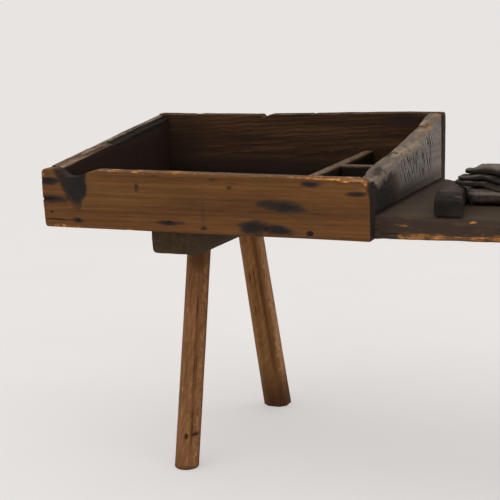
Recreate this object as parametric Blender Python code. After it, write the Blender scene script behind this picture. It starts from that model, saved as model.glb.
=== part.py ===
"""A cobbler's bench: a plank on four staked legs, with a nailed tool tray at one end and a leather seat."""

import math
from collections import namedtuple

import bmesh
import bpy
from mathutils import Vector

MM = 0.001

# Clearance between pieces that touch
FIT_GAP = 0.3 * MM

# The plank that everything is built on
PLANK_LENGTH = 1137 * MM
PLANK_THICK = 38.5 * MM
PLANK_UNDERSIDE = 415 * MM
PLANK_CORNER_RADIUS = 30 * MM
PLANK_EDGE_WEAR = 13 * MM

# The tray's four walls, with heights measured from the plank's underside
TRAY_LENGTH = 570 * MM
TRAY_DEPTH = 456 * MM
FRONT_THICK = 24 * MM
BACK_THICK = 24 * MM
END_THICK = 24 * MM
FRONT_HEIGHT_LEFT = 99.5 * MM
FRONT_HEIGHT_RIGHT = 97 * MM
BACK_HEIGHT_LEFT = 149.5 * MM
BACK_HEIGHT_RIGHT = 157.5 * MM
LEFT_END_HOLLOW = 1.2 * MM
RIGHT_END_HOLLOW = 5.5 * MM
BOARD_EDGE_ROUND = 2.5 * MM
FRONT_CORNER_ROUND = 9 * MM

# The front board's left end stands out past the plank, more at its top than at its foot, and the back
# board's right end leans out a little at its top
FRONT_OVERHANG = 7 * MM
FRONT_FOOT_OVERHANG = 3.5 * MM
FRONT_LEAN_HEIGHT = 62 * MM
BACK_TOP_OVERHANG = 2 * MM

# The scoop worn into the front board and the chip out of the back board
SCOOP_FROM_LEFT = 48 * MM
SCOOP_LEFT_RUN = 20 * MM
SCOOP_RIGHT_RUN = 40 * MM
SCOOP_DEPTH = 18 * MM
SCOOP_RADIUS = 17 * MM
SCOOP_LIP_RADIUS = 6 * MM
CHIP_FROM_LEFT = 224 * MM
CHIP_WIDTH = 17 * MM
CHIP_DEPTH = 5.5 * MM
CHIP_RADIUS = 3 * MM

# The two cells at the right side of the tray
CELL_WIDTH = 95 * MM
FRONT_CELL_LENGTH = 184 * MM
DIVIDER_THICK = 17 * MM
DIVIDER_HEIGHT = 48 * MM
STRIP_THICK = 16 * MM
STRIP_HEIGHT = 57 * MM
HOUSING_DEPTH = 4 * MM
DIVIDER_EDGE_ROUND = 1.5 * MM

# The battens under the plank
BATTEN_WIDTH = 92 * MM
BATTEN_THICK = 47 * MM
BATTEN_SETBACK = 50 * MM
BATTEN_LOWER_RADIUS = 10 * MM
BATTEN_EDGE_ROUND = 2 * MM
TRAY_BATTEN_FROM_END = 216 * MM
SEAT_BATTEN_FROM_END = 197 * MM

# The legs, tenoned through batten and plank
LEG_FROM_BATTEN_END = 79 * MM
LEG_SPLAY = 89 * MM
TENON_DIAMETER = 33 * MM
TENON_ROOT = 25 * MM
FOOT_CHAMFER = 4 * MM
WEDGE_THICK = 5.5 * MM
WEDGE_POINT = 2.5 * MM
WEDGE_DEPTH = 24 * MM

# The legs' widths, the cuts across their corners, their places on the battens and how far their feet lean
TRAY_FRONT_FOOT = 43 * MM
TRAY_FRONT_SHOULDER = 42 * MM
TRAY_BACK_FOOT = 49.5 * MM
TRAY_BACK_SHOULDER = 44.5 * MM
SEAT_FRONT_FOOT = 44 * MM
SEAT_FRONT_SHOULDER = 41 * MM
SEAT_BACK_FOOT = 48 * MM
SEAT_BACK_SHOULDER = 44 * MM
FRONT_LEG_CHAMFER = 13 * MM
BACK_LEG_CHAMFER = 12 * MM
TRAY_LEG_FROM_MIDDLE = 10 * MM
TRAY_FRONT_LEAN = -1.2 * MM
TRAY_BACK_LEAN = 19 * MM
SEAT_FRONT_LEAN = 16 * MM
SEAT_BACK_LEAN = 12 * MM

Leg = namedtuple("Leg", "foot shoulder chamfer from_batten_middle lean")
LEGS = {
    "tray_front": Leg(
        TRAY_FRONT_FOOT, TRAY_FRONT_SHOULDER, FRONT_LEG_CHAMFER, TRAY_LEG_FROM_MIDDLE, TRAY_FRONT_LEAN
    ),
    "tray_back": Leg(
        TRAY_BACK_FOOT, TRAY_BACK_SHOULDER, BACK_LEG_CHAMFER, TRAY_LEG_FROM_MIDDLE, TRAY_BACK_LEAN
    ),
    "seat_front": Leg(SEAT_FRONT_FOOT, SEAT_FRONT_SHOULDER, FRONT_LEG_CHAMFER, 0, SEAT_FRONT_LEAN),
    "seat_back": Leg(SEAT_BACK_FOOT, SEAT_BACK_SHOULDER, BACK_LEG_CHAMFER, 0, SEAT_BACK_LEAN),
}

# The leather seat: a rim open to the front, a pad inside it and hide folded over both
SEAT_FROM_TRAY = 53 * MM
SEAT_FROM_END = 32.5 * MM
RIM_WIDTH = 46 * MM
RIM_HEIGHT = 29 * MM
RIM_BACK_HEIGHT = 11 * MM
RIM_HIGH_LENGTH = 132 * MM
RIM_FALL_LENGTH = 34 * MM
RIM_DRAW_IN = 38.5 * MM
RIM_FROM_FRONT = 4 * MM
RIM_FROM_BACK = 18 * MM
RIM_BEND_RADIUS = 62 * MM
RIM_SECTION_RADIUS = 9 * MM
RIM_END_ROUND = 7 * MM
PAD_FROM_FRONT = 118 * MM
PAD_CORNER_RADIUS = 30 * MM
PAD_EDGE_ROUND = 11 * MM
PAD_DRAW_IN = 7 * MM
PAD_CROWN = 6 * MM
HIDE_CORNER_RADIUS = 34 * MM
HIDE_FOLD_HEIGHT = 5 * MM
HIDE_FOLD_SPACING = 105 * MM
HIDE_FOLD_FROM_FRONT = 46 * MM
HIDE_FOLD_SLANT = 0.08

# Each layer of hide, lowest first: its thickness, and its insets as shares of the seat's width and depth
LOWER_HIDE_THICK = 8.5 * MM
MIDDLE_HIDE_THICK = 8.5 * MM
UPPER_HIDE_THICK = 9 * MM
Hide = namedtuple("Hide", "thick left right front back")
HIDES = {
    "lower_hide": Hide(LOWER_HIDE_THICK, 0.078, 0.0715, 0.011, 0.31),
    "middle_hide": Hide(MIDDLE_HIDE_THICK, 0.082, 0.0965, 0.044, 0.464),
    "upper_hide": Hide(UPPER_HIDE_THICK, 0.107, 0.1256, 0.074, 0.582),
}

# Cut nails, all of one size
NAIL_LENGTH = 56 * MM
NAIL_HEAD_WIDTH = 6.5 * MM
NAIL_HEAD_THICK = 2 * MM
NAIL_SHANK_WIDTH = 4.4 * MM
NAIL_TIP_WIDTH = 2.4 * MM
NAIL_SINK = 0.6 * MM
NAIL_FROM_BATTEN_END = 22 * MM
NAIL_FROM_BATTEN_SIDE = 20 * MM
NAIL_FROM_RIM_END = 30 * MM
RIM_NAIL_SPACING = 55 * MM

# Nails in the long boards, as shares along the tray and up the plank's edge, up the board and up the divider
FRONT_NAIL_ROW = ((0.105, 0.35), (0.402, 0.42), (0.7, 0.35), (0.828, 0.24))
BACK_NAIL_ROW = ((0.12, 0.5), (0.37, 0.46), (0.63, 0.54), (0.88, 0.5))
END_NAIL_SHARES = (0.485, 0.805)
DIVIDER_NAIL_SHARE = 0.24

# How far a cutter runs past the face that it opens, and the fineness of round forms
CUT_PAST = 6 * MM
ARC_STEPS = 5
TENON_SIDES = 24
HOLLOW_STEPS = 8
BEND_STEPS = 6
ARM_STEPS = 18
SIDE_STEPS = 6

# Planes that the pieces share, with the origin on the floor under the middle of the bench
LEFT = (FRONT_OVERHANG - PLANK_LENGTH) / 2
RIGHT = LEFT + PLANK_LENGTH
FRONT = -TRAY_DEPTH / 2
BACK = TRAY_DEPTH / 2
TRAY_RIGHT = LEFT + TRAY_LENGTH
PLANK_TOP = PLANK_UNDERSIDE + PLANK_THICK
PLANK_FRONT = FRONT + FRONT_THICK + FIT_GAP
PLANK_BACK = BACK - BACK_THICK - FIT_GAP
ON_PLANK = PLANK_TOP + FIT_GAP
TENON_TOP = PLANK_TOP - FIT_GAP
BATTEN_TOP = PLANK_UNDERSIDE - FIT_GAP
BATTEN_BOTTOM = BATTEN_TOP - BATTEN_THICK
BATTEN_FRONT = FRONT + BATTEN_SETBACK
BATTEN_BACK = BACK - BATTEN_SETBACK
RIGHT_END_INNER = TRAY_RIGHT - END_THICK
DIVIDER_RIGHT = RIGHT_END_INNER - CELL_WIDTH
DIVIDER_LEFT = DIVIDER_RIGHT - DIVIDER_THICK
DIVIDER_TOP = ON_PLANK + DIVIDER_HEIGHT
STRIP_FRONT = PLANK_FRONT
STRIP_BACK = STRIP_FRONT + STRIP_THICK
CROSS_FRONT = STRIP_BACK + FRONT_CELL_LENGTH
CROSS_BACK = CROSS_FRONT + DIVIDER_THICK
SEAT_LEFT = TRAY_RIGHT + SEAT_FROM_TRAY
SEAT_RIGHT = RIGHT - SEAT_FROM_END
RIM_FRONT = PLANK_FRONT + RIM_FROM_FRONT
RIM_BACK = PLANK_BACK - RIM_FROM_BACK
RIM_TOP = ON_PLANK + RIM_HEIGHT
ARM_BACK = RIM_BACK - RIM_WIDTH / 2 - RIM_BEND_RADIUS
PAD_FRONT = PLANK_FRONT + PAD_FROM_FRONT


def share(start, end, part):
    """The value that lies this part of the way from start to end."""
    return start + (end - start) * part


def linear(red, green, blue):
    """A screen colour, 0 to 255, as the linear colour that a shader takes."""
    return tuple((channel / 255) ** 2.2 for channel in (red, green, blue)) + (1.0,)


def material(name, colour, roughness, metallic=0.0):
    made = bpy.data.materials.new(name)
    made.use_nodes = True
    made.diffuse_color = colour
    shader = made.node_tree.nodes["Principled BSDF"]
    shader.inputs["Base Color"].default_value = colour
    shader.inputs["Roughness"].default_value = roughness
    shader.inputs["Metallic"].default_value = metallic
    return made


def make(name, bm, look, parent, soft=False):
    """An object from a bmesh, with its faces pointing out, and shaded smooth if it is soft."""
    bmesh.ops.recalc_face_normals(bm, faces=bm.faces)
    mesh = bpy.data.meshes.new(name)
    bm.to_mesh(mesh)
    bm.free()
    if soft:
        mesh.shade_smooth()
    mesh.materials.append(look)
    made = bpy.data.objects.new(name, mesh)
    bpy.context.scene.collection.objects.link(made)
    made.parent = parent
    return made


def guide(name, bm, look, parent):
    """A body that only cuts or adds to others."""
    made = make(name, bm, look, parent)
    made.hide_render = True
    made.display_type = "WIRE"
    return made


def combine(target, tool, operation):
    step = target.modifiers.new(tool.name, "BOOLEAN")
    step.operation = operation
    step.solver = "EXACT"
    step.object = tool


def round_edges(target, width):
    step = target.modifiers.new("worn_edges", "BEVEL")
    step.width = width
    step.segments = 2
    step.limit_method = "ANGLE"
    step.angle_limit = math.radians(40)


def rounded_outline(corners):
    """Corners (a, b, radius) as an outline with an arc at each corner that has a radius."""
    outline = []
    for i, (a, b, radius) in enumerate(corners):
        corner = Vector((a, b))
        if not radius:
            outline.append(corner)
            continue
        to_last = (Vector(corners[i - 1][:2]) - corner).normalized()
        to_next = (Vector(corners[(i + 1) % len(corners)][:2]) - corner).normalized()
        half = to_last.angle(to_next) / 2
        centre = corner + (to_last + to_next).normalized() * radius / math.sin(half)
        reach = radius / math.tan(half)
        start = corner + to_last * reach - centre
        end = corner + to_next * reach - centre
        first = math.atan2(start.y, start.x)
        sweep = (math.atan2(end.y, end.x) - first + math.pi) % (2 * math.pi) - math.pi
        for step in range(ARC_STEPS + 1):
            angle = first + sweep * step / ARC_STEPS
            outline.append(centre + radius * Vector((math.cos(angle), math.sin(angle))))
    return outline


def add_loft(bm, rings):
    """A closed skin through rings of equally many points, capped at both ends."""
    loops = [[bm.verts.new(point) for point in ring] for ring in rings]
    count = len(loops[0])
    for near, far in zip(loops, loops[1:]):
        for i in range(count):
            j = (i + 1) % count
            bm.faces.new((near[i], near[j], far[j], far[i]))
    bm.faces.new(loops[0][::-1])
    bm.faces.new(loops[-1])


def loft(rings):
    bm = bmesh.new()
    add_loft(bm, rings)
    return bm


def extrude(outline, axis, start, end):
    """An outline drawn square to an axis, given its depth along it."""
    place = {
        "x": lambda a, b, depth: (depth, a, b),
        "y": lambda a, b, depth: (a, depth, b),
        "z": lambda a, b, depth: (a, b, depth),
    }[axis]
    return loft([[place(a, b, depth) for a, b in outline] for depth in (start, end)])


def rectangle(a_low, a_high, b_low, b_high):
    return [(a_low, b_low), (a_high, b_low), (a_high, b_high), (a_low, b_high)]


def box(x_low, x_high, y_low, y_high, z_low, z_high):
    return extrude(rectangle(x_low, x_high, y_low, y_high), "z", z_low, z_high)


def plank(look, parent):
    """The plank, round at the seat's corners and worn away along the seat's front edge."""
    outline = rounded_outline([
        (LEFT, PLANK_FRONT, 0),
        (RIGHT, PLANK_FRONT, PLANK_CORNER_RADIUS),
        (RIGHT, PLANK_BACK, PLANK_CORNER_RADIUS),
        (LEFT, PLANK_BACK, 0),
    ])
    made = make("bench_plank", extrude(outline, "z", PLANK_UNDERSIDE, PLANK_TOP), look, parent)
    round_edges(made, BOARD_EDGE_ROUND)
    wear_in = PLANK_FRONT + PLANK_EDGE_WEAR
    wear_low = PLANK_TOP - PLANK_EDGE_WEAR
    profile = [(PLANK_FRONT - CUT_PAST, wear_low), (PLANK_FRONT - CUT_PAST, PLANK_TOP + CUT_PAST)]
    profile.append((wear_in, PLANK_TOP + CUT_PAST))
    for step in range(ARC_STEPS + 1):
        angle = math.radians(90 * (1 + step / ARC_STEPS))
        reach = PLANK_EDGE_WEAR * Vector((math.cos(angle), math.sin(angle)))
        profile.append((wear_in + reach.x, wear_low + reach.y))
    wear = guide("front_wear", extrude(profile, "x", TRAY_RIGHT, RIGHT + CUT_PAST), look, parent)
    combine(made, wear, "DIFFERENCE")
    return made


def front_board(look, parent):
    """The low front wall, with its top worn to the right and a scoop near its left end."""
    def top(x):
        return PLANK_UNDERSIDE + share(FRONT_HEIGHT_LEFT, FRONT_HEIGHT_RIGHT, (x - LEFT) / TRAY_LENGTH)

    scoop = LEFT + SCOOP_FROM_LEFT
    scoop_left = scoop - SCOOP_LEFT_RUN
    scoop_right = scoop + SCOOP_RIGHT_RUN
    end = LEFT - FRONT_OVERHANG
    outline = rounded_outline([
        (LEFT - FRONT_FOOT_OVERHANG, PLANK_UNDERSIDE, FRONT_CORNER_ROUND),
        (TRAY_RIGHT, PLANK_UNDERSIDE, 0),
        (TRAY_RIGHT, top(TRAY_RIGHT), 0),
        (scoop_right, top(scoop_right), SCOOP_LIP_RADIUS),
        (scoop, top(scoop) - SCOOP_DEPTH, SCOOP_RADIUS),
        (scoop_left, top(scoop_left), SCOOP_LIP_RADIUS),
        (end, top(LEFT), FRONT_CORNER_ROUND),
        (end, PLANK_UNDERSIDE + FRONT_LEAN_HEIGHT, 0),
    ])
    made = make("front_board", extrude(outline, "y", FRONT, FRONT + FRONT_THICK), look, parent)
    round_edges(made, BOARD_EDGE_ROUND)
    return made


def back_board(look, parent):
    """The tall back wall, which rises to the right and has lost a chip from its top edge."""
    def top(x):
        return PLANK_UNDERSIDE + share(BACK_HEIGHT_LEFT, BACK_HEIGHT_RIGHT, (x - LEFT) / TRAY_LENGTH)

    chip = LEFT + CHIP_FROM_LEFT
    chip_left = chip - CHIP_WIDTH / 2
    chip_right = chip + CHIP_WIDTH / 2
    outline = rounded_outline([
        (LEFT, PLANK_UNDERSIDE, 0),
        (TRAY_RIGHT, PLANK_UNDERSIDE, 0),
        (TRAY_RIGHT + BACK_TOP_OVERHANG, top(TRAY_RIGHT), 0),
        (chip_right, top(chip_right), 0),
        (chip, top(chip) - CHIP_DEPTH, CHIP_RADIUS),
        (chip_left, top(chip_left), 0),
        (LEFT, top(LEFT), 0),
    ])
    made = make("back_board", extrude(outline, "y", BACK - BACK_THICK, BACK), look, parent)
    round_edges(made, BOARD_EDGE_ROUND)
    return made


def end_board(name, x_low, front_height, back_height, hollow, look, parent):
    """An end wall between front and back board, whose top slopes from one to the other and sags a little."""
    outline = [(PLANK_FRONT, ON_PLANK), (PLANK_BACK, ON_PLANK)]
    for step in range(HOLLOW_STEPS + 1):
        part = step / HOLLOW_STEPS
        height = share(back_height, front_height, part) - hollow * 4 * part * (1 - part)
        outline.append((share(PLANK_BACK, PLANK_FRONT, part), PLANK_UNDERSIDE + height))
    made = make(name, extrude(outline, "x", x_low, x_low + END_THICK), look, parent)
    round_edges(made, BOARD_EDGE_ROUND)
    return made


def cells(right_end, look, parent):
    """The dividers that make two cells: the cross divider is housed in the long one and in the end board."""
    long_divider = make(
        "long_divider",
        box(DIVIDER_LEFT, DIVIDER_RIGHT, PLANK_FRONT, PLANK_BACK, ON_PLANK, DIVIDER_TOP),
        look,
        parent,
    )
    strip = make(
        "front_strip",
        box(
            DIVIDER_RIGHT + FIT_GAP,
            RIGHT_END_INNER - FIT_GAP,
            STRIP_FRONT,
            STRIP_BACK,
            ON_PLANK,
            ON_PLANK + STRIP_HEIGHT,
        ),
        look,
        parent,
    )
    cross_left = DIVIDER_RIGHT - HOUSING_DEPTH + FIT_GAP
    cross_right = RIGHT_END_INNER + HOUSING_DEPTH - FIT_GAP
    cross = make(
        "cross_divider",
        box(cross_left, cross_right, CROSS_FRONT, CROSS_BACK, ON_PLANK, DIVIDER_TOP),
        look,
        parent,
    )
    for divider in (long_divider, strip, cross):
        round_edges(divider, DIVIDER_EDGE_ROUND)
    housing_sides = (CROSS_FRONT - FIT_GAP, CROSS_BACK + FIT_GAP)
    left_housing = guide(
        "left_housing",
        box(
            DIVIDER_RIGHT - HOUSING_DEPTH,
            DIVIDER_RIGHT + CUT_PAST,
            *housing_sides,
            ON_PLANK - CUT_PAST,
            DIVIDER_TOP + CUT_PAST,
        ),
        look,
        parent,
    )
    right_housing = guide(
        "right_housing",
        box(
            RIGHT_END_INNER - CUT_PAST,
            RIGHT_END_INNER + HOUSING_DEPTH,
            *housing_sides,
            ON_PLANK - CUT_PAST,
            DIVIDER_TOP + FIT_GAP,
        ),
        look,
        parent,
    )
    combine(long_divider, left_housing, "DIFFERENCE")
    combine(right_end, right_housing, "DIFFERENCE")


def batten(name, middle, look, parent):
    """A cross batten with rounded lower edges."""
    left = middle - BATTEN_WIDTH / 2
    right = middle + BATTEN_WIDTH / 2
    outline = rounded_outline([
        (left, BATTEN_TOP, 0),
        (left, BATTEN_BOTTOM, BATTEN_LOWER_RADIUS),
        (right, BATTEN_BOTTOM, BATTEN_LOWER_RADIUS),
        (right, BATTEN_TOP, 0),
    ])
    made = make(name, extrude(outline, "y", BATTEN_FRONT, BATTEN_BACK), look, parent)
    round_edges(made, BATTEN_EDGE_ROUND)
    return made


class LegAxis:
    """The slanting centre line of a leg, from its foot to its socket under the plank."""

    def __init__(self, leg, batten_middle, side):
        socket_from_middle = (BATTEN_BACK - BATTEN_FRONT) / 2 - LEG_FROM_BATTEN_END
        self.socket = Vector((batten_middle + leg.from_batten_middle, side * socket_from_middle))
        self.foot = self.socket + Vector((leg.lean, side * LEG_SPLAY))

    def at(self, z):
        return self.foot.lerp(self.socket, z / PLANK_UNDERSIDE)

    def level_circle(self, radius, z):
        """Where a round bar on this line crosses the level z: a circle drawn out along the slant."""
        slant = (self.socket - self.foot) / PLANK_UNDERSIDE
        along = slant.normalized()
        stretch = math.sqrt(1 + slant.length_squared) - 1
        centre = self.at(z)
        points = []
        for step in range(TENON_SIDES):
            angle = 2 * math.pi * step / TENON_SIDES
            reach = radius * Vector((math.cos(angle), math.sin(angle)))
            point = centre + reach + along * along.dot(reach) * stretch
            points.append((point.x, point.y, z))
        return points

    def bar(self, radius, z_low, z_high):
        return loft([self.level_circle(radius, z_low), self.level_circle(radius, z_high)])


def leg_section(axis, leg, z, inset=0.0):
    """The leg's level section: a square with its corners cut off."""
    width = share(leg.foot, leg.shoulder, z / BATTEN_BOTTOM)
    half = width / 2 - inset
    flat = width / 2 - leg.chamfer
    around = [(half, -flat), (half, flat), (flat, half), (-flat, half)]
    around += [(-half, flat), (-half, -flat), (-flat, -half), (flat, -half)]
    centre = axis.at(z)
    return [(centre.x + a, centre.y + b, z) for a, b in around]


def wedge_ring(axis, z, half_length, gap):
    """The level section of the wedge in a tenon's top, or of its slot where a gap is given."""
    thick = share(WEDGE_THICK, WEDGE_POINT, (TENON_TOP - z) / WEDGE_DEPTH)
    half_thick = thick / 2 + gap
    centre = axis.at(z)
    outline = rectangle(-half_length, half_length, -half_thick, half_thick)
    return [(centre.x + a, centre.y + b, z) for a, b in outline]


def leg(name, axis, sizes, look, wedge_look, parent):
    """A hewn leg with a round tenon, split at its top by a wedge. Returns the cutter for its socket."""
    shoulder = BATTEN_BOTTOM - FIT_GAP
    shaft = loft([
        leg_section(axis, sizes, 0, FOOT_CHAMFER),
        leg_section(axis, sizes, FOOT_CHAMFER),
        leg_section(axis, sizes, shoulder),
    ])
    made = make(name + "_leg", shaft, look, parent)
    radius = TENON_DIAMETER / 2
    tenon = axis.bar(radius, shoulder - TENON_ROOT, TENON_TOP)
    combine(made, guide(name + "_tenon", tenon, look, parent), "UNION")
    point = TENON_TOP - WEDGE_DEPTH
    slot = loft([
        wedge_ring(axis, point - FIT_GAP, radius + CUT_PAST, FIT_GAP),
        wedge_ring(axis, TENON_TOP + CUT_PAST, radius + CUT_PAST, FIT_GAP),
    ])
    combine(made, guide(name + "_slot", slot, look, parent), "DIFFERENCE")
    half_length = math.sqrt(radius**2 - (WEDGE_THICK / 2) ** 2) - FIT_GAP
    wedge = loft([wedge_ring(axis, z, half_length, 0.0) for z in (point, TENON_TOP)])
    make(name + "_wedge", wedge, wedge_look, parent)
    socket = axis.bar(radius + FIT_GAP, BATTEN_BOTTOM - CUT_PAST, PLANK_TOP + CUT_PAST)
    return guide(name + "_socket", socket, look, parent)


def arm_middles(y):
    """The middles of the rim's two arms at a depth. The arms draw in towards the front."""
    forward = min(max((ARM_BACK - y) / (ARM_BACK - RIM_FRONT), 0), 1)
    inset = RIM_WIDTH / 2 + RIM_DRAW_IN * forward**2
    return SEAT_LEFT + inset, SEAT_RIGHT - inset


def rim_height(y):
    """The rim's height at a depth: full in the front of the arms, and low behind it."""
    part = min(max((y - RIM_FRONT - RIM_HIGH_LENGTH) / RIM_FALL_LENGTH, 0), 1)
    return share(RIM_HEIGHT, RIM_BACK_HEIGHT, part * part * (3 - 2 * part))


def seat_rim(look, parent):
    """A leather roll round the seat's back and sides, open to the front, and stuffed high in its arms."""
    left, right = arm_middles(ARM_BACK)
    path = []
    for centre_x, start in ((left + RIM_BEND_RADIUS, 180), (right - RIM_BEND_RADIUS, 90)):
        for step in range(BEND_STEPS + 1):
            angle = math.radians(start - 90 * step / BEND_STEPS)
            outward = Vector((math.cos(angle), math.sin(angle)))
            path.append((Vector((centre_x, ARM_BACK)) + RIM_BEND_RADIUS * outward, outward))
    depths = [share(RIM_FRONT + RIM_END_ROUND, ARM_BACK, step / ARM_STEPS) for step in range(ARM_STEPS)]
    depths.insert(0, RIM_FRONT)
    left_arm = [(Vector((arm_middles(y)[0], y)), Vector((-1, 0))) for y in depths]
    right_arm = [(Vector((arm_middles(y)[1], y)), Vector((1, 0))) for y in depths]
    path = left_arm + path + right_arm[::-1]
    half = RIM_WIDTH / 2
    section = rounded_outline([
        (-half, 0, RIM_SECTION_RADIUS),
        (half, 0, RIM_SECTION_RADIUS),
        (half, RIM_HEIGHT, RIM_SECTION_RADIUS),
        (-half, RIM_HEIGHT, RIM_SECTION_RADIUS),
    ])
    rings = []
    for i, (point, outward) in enumerate(path):
        narrow = 1 - (RIM_END_ROUND / half if i in (0, len(path) - 1) else 0)
        rise = rim_height(point.y) / RIM_HEIGHT
        rings.append([
            (*(point + outward * across * narrow), ON_PLANK + up * rise) for across, up in section
        ])
    return make("seat_rim", loft(rings), look, parent, soft=True)


def drawn_in_outline(left, right, front, back, radius, draw_in, inset):
    """A rounded rectangle whose sides bow inwards, as the sides of a stuffed pad do."""
    corners = rounded_outline([
        (left + inset, front + inset, radius),
        (right - inset, front + inset, radius),
        (right - inset, back - inset, radius),
        (left + inset, back - inset, radius),
    ])
    outline = []
    middle = Vector(((left + right) / 2, (front + back) / 2))
    for i, point in enumerate(corners):
        outline.append(point)
        if i % (ARC_STEPS + 1) != ARC_STEPS:
            continue
        after = corners[(i + 1) % len(corners)]
        inwards = Vector((point.y - after.y, after.x - point.x)).normalized()
        if inwards.dot(middle - point) < 0:
            inwards.negate()
        for step in range(1, SIDE_STEPS):
            part = step / SIDE_STEPS
            outline.append(point.lerp(after, part) + inwards * draw_in * math.sin(math.pi * part))
    return outline


def seat_pad(look, parent):
    """The stuffed pad between the rim's arms: round edges, drawn-in sides and a low crown."""
    left_arm, right_arm = arm_middles(PAD_FRONT + PAD_CORNER_RADIUS)
    inner_left = left_arm + RIM_WIDTH / 2 + FIT_GAP
    inner_right = right_arm - RIM_WIDTH / 2 - FIT_GAP
    inner_back = RIM_BACK - RIM_WIDTH - FIT_GAP
    edge_top = RIM_HEIGHT - PAD_CROWN
    width = min(inner_right - inner_left, inner_back - PAD_FRONT)
    levels = [(0, PAD_EDGE_ROUND / 2), (PAD_EDGE_ROUND / 2, 0), (edge_top - PAD_EDGE_ROUND, 0)]
    for step in range(1, ARC_STEPS):
        angle = math.radians(90 * step / ARC_STEPS)
        rise = edge_top - PAD_EDGE_ROUND * (1 - math.sin(angle))
        levels.append((rise, PAD_EDGE_ROUND * (1 - math.cos(angle))))
    for part in (0.1, 0.2, 0.3):
        levels.append((edge_top + PAD_CROWN * (1 - (1 - part / 0.3) ** 2), part * width))
    rings = []
    for height, inset in levels:
        radius = max(PAD_CORNER_RADIUS, RIM_BEND_RADIUS - RIM_WIDTH / 2) - min(inset, PAD_CORNER_RADIUS / 2)
        outline = drawn_in_outline(
            inner_left, inner_right, PAD_FRONT, inner_back, radius, PAD_DRAW_IN, inset
        )
        rings.append([(*point, ON_PLANK + height) for point in outline])
    return make("seat_pad", loft(rings), look, parent, soft=True)


def fold_height(x, y):
    """How high the uppermost hide's fold stands at a point: a ridge along its front, a little aslant."""
    middle = (SEAT_LEFT + SEAT_RIGHT) / 2
    behind = y - PAD_FRONT - HIDE_FOLD_FROM_FRONT + HIDE_FOLD_SLANT * (x - middle)
    return HIDE_FOLD_HEIGHT * (0.5 + 0.5 * math.cos(2 * math.pi * behind / HIDE_FOLD_SPACING))


def hide(name, sizes, bottom, folded, look, parent):
    """One layer of hide with a rounded edge, and with folds in its top if it lies uppermost."""
    left = share(SEAT_LEFT, SEAT_RIGHT, sizes.left)
    right = share(SEAT_RIGHT, SEAT_LEFT, sizes.right)
    front = share(PAD_FRONT, RIM_BACK, sizes.front)
    back = share(RIM_BACK, PAD_FRONT, sizes.back)
    width = min(right - left, back - front)
    edge = sizes.thick / 2
    levels = [(0, edge), (edge / 2, edge / 4), (edge, 0), (3 * edge / 2, edge / 4), (2 * edge, edge)]
    levels += [(2 * edge, part * width) for part in (0.1, 0.2, 0.3, 0.4)]
    rings = []
    for height, inset in levels:
        radius = max(HIDE_CORNER_RADIUS - inset / 2, edge)
        outline = drawn_in_outline(left, right, front, back, radius, edge, inset)
        inner = folded and inset > edge
        rings.append([
            (*point, bottom + height + (fold_height(*point) if inner else 0)) for point in outline
        ])
    return make(name, loft(rings), look, parent, soft=True)


def nail_rings(gap, outside):
    """A nail's square sections from its head, driven along +Z from the origin, or those of its hole."""
    head = NAIL_HEAD_WIDTH / 2 + gap
    shank = NAIL_SHANK_WIDTH / 2 + gap
    tip = NAIL_TIP_WIDTH / 2 + gap
    under_head = NAIL_HEAD_THICK + gap
    sections = ((-outside, head), (under_head, head), (under_head, shank), (NAIL_LENGTH + gap, tip))
    return [
        [Vector((a, b, z)) for a, b in rectangle(-half, half, -half, half)] for z, half in sections
    ]


def drive_nails(name, places, direction, targets, look, parent):
    """Nails sunk a little below the faces that they are driven into, and their holes in every target."""
    turn = direction.to_track_quat("Z", "Y")
    holes = bmesh.new()
    for number, place in enumerate(places, 1):
        head = Vector(place) + direction * NAIL_SINK
        nail = make(f"{name}_{number}", loft(nail_rings(0.0, 0.0)), look, parent)
        nail.location = head
        nail.rotation_euler = turn.to_euler()
        rings = nail_rings(FIT_GAP, CUT_PAST)
        add_loft(holes, [[head + turn @ point for point in ring] for ring in rings])
    cutter = guide(name + "_holes", holes, look, parent)
    for target in targets:
        combine(target, cutter, "DIFFERENCE")


def long_board_nails(row, height_left, height_right):
    """Nail places (x, z) in a long board: some in the plank, in the end boards and in the divider."""
    places = [(LEFT + along * TRAY_LENGTH, PLANK_UNDERSIDE + up * PLANK_THICK) for along, up in row]
    for x, height in ((LEFT + END_THICK / 2, height_left), (TRAY_RIGHT - END_THICK / 2, height_right)):
        places += [(x, PLANK_UNDERSIDE + up * height) for up in END_NAIL_SHARES]
    divider = (DIVIDER_LEFT + DIVIDER_RIGHT) / 2
    places.append((divider, ON_PLANK + DIVIDER_NAIL_SHARE * DIVIDER_HEIGHT))
    return places


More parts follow.
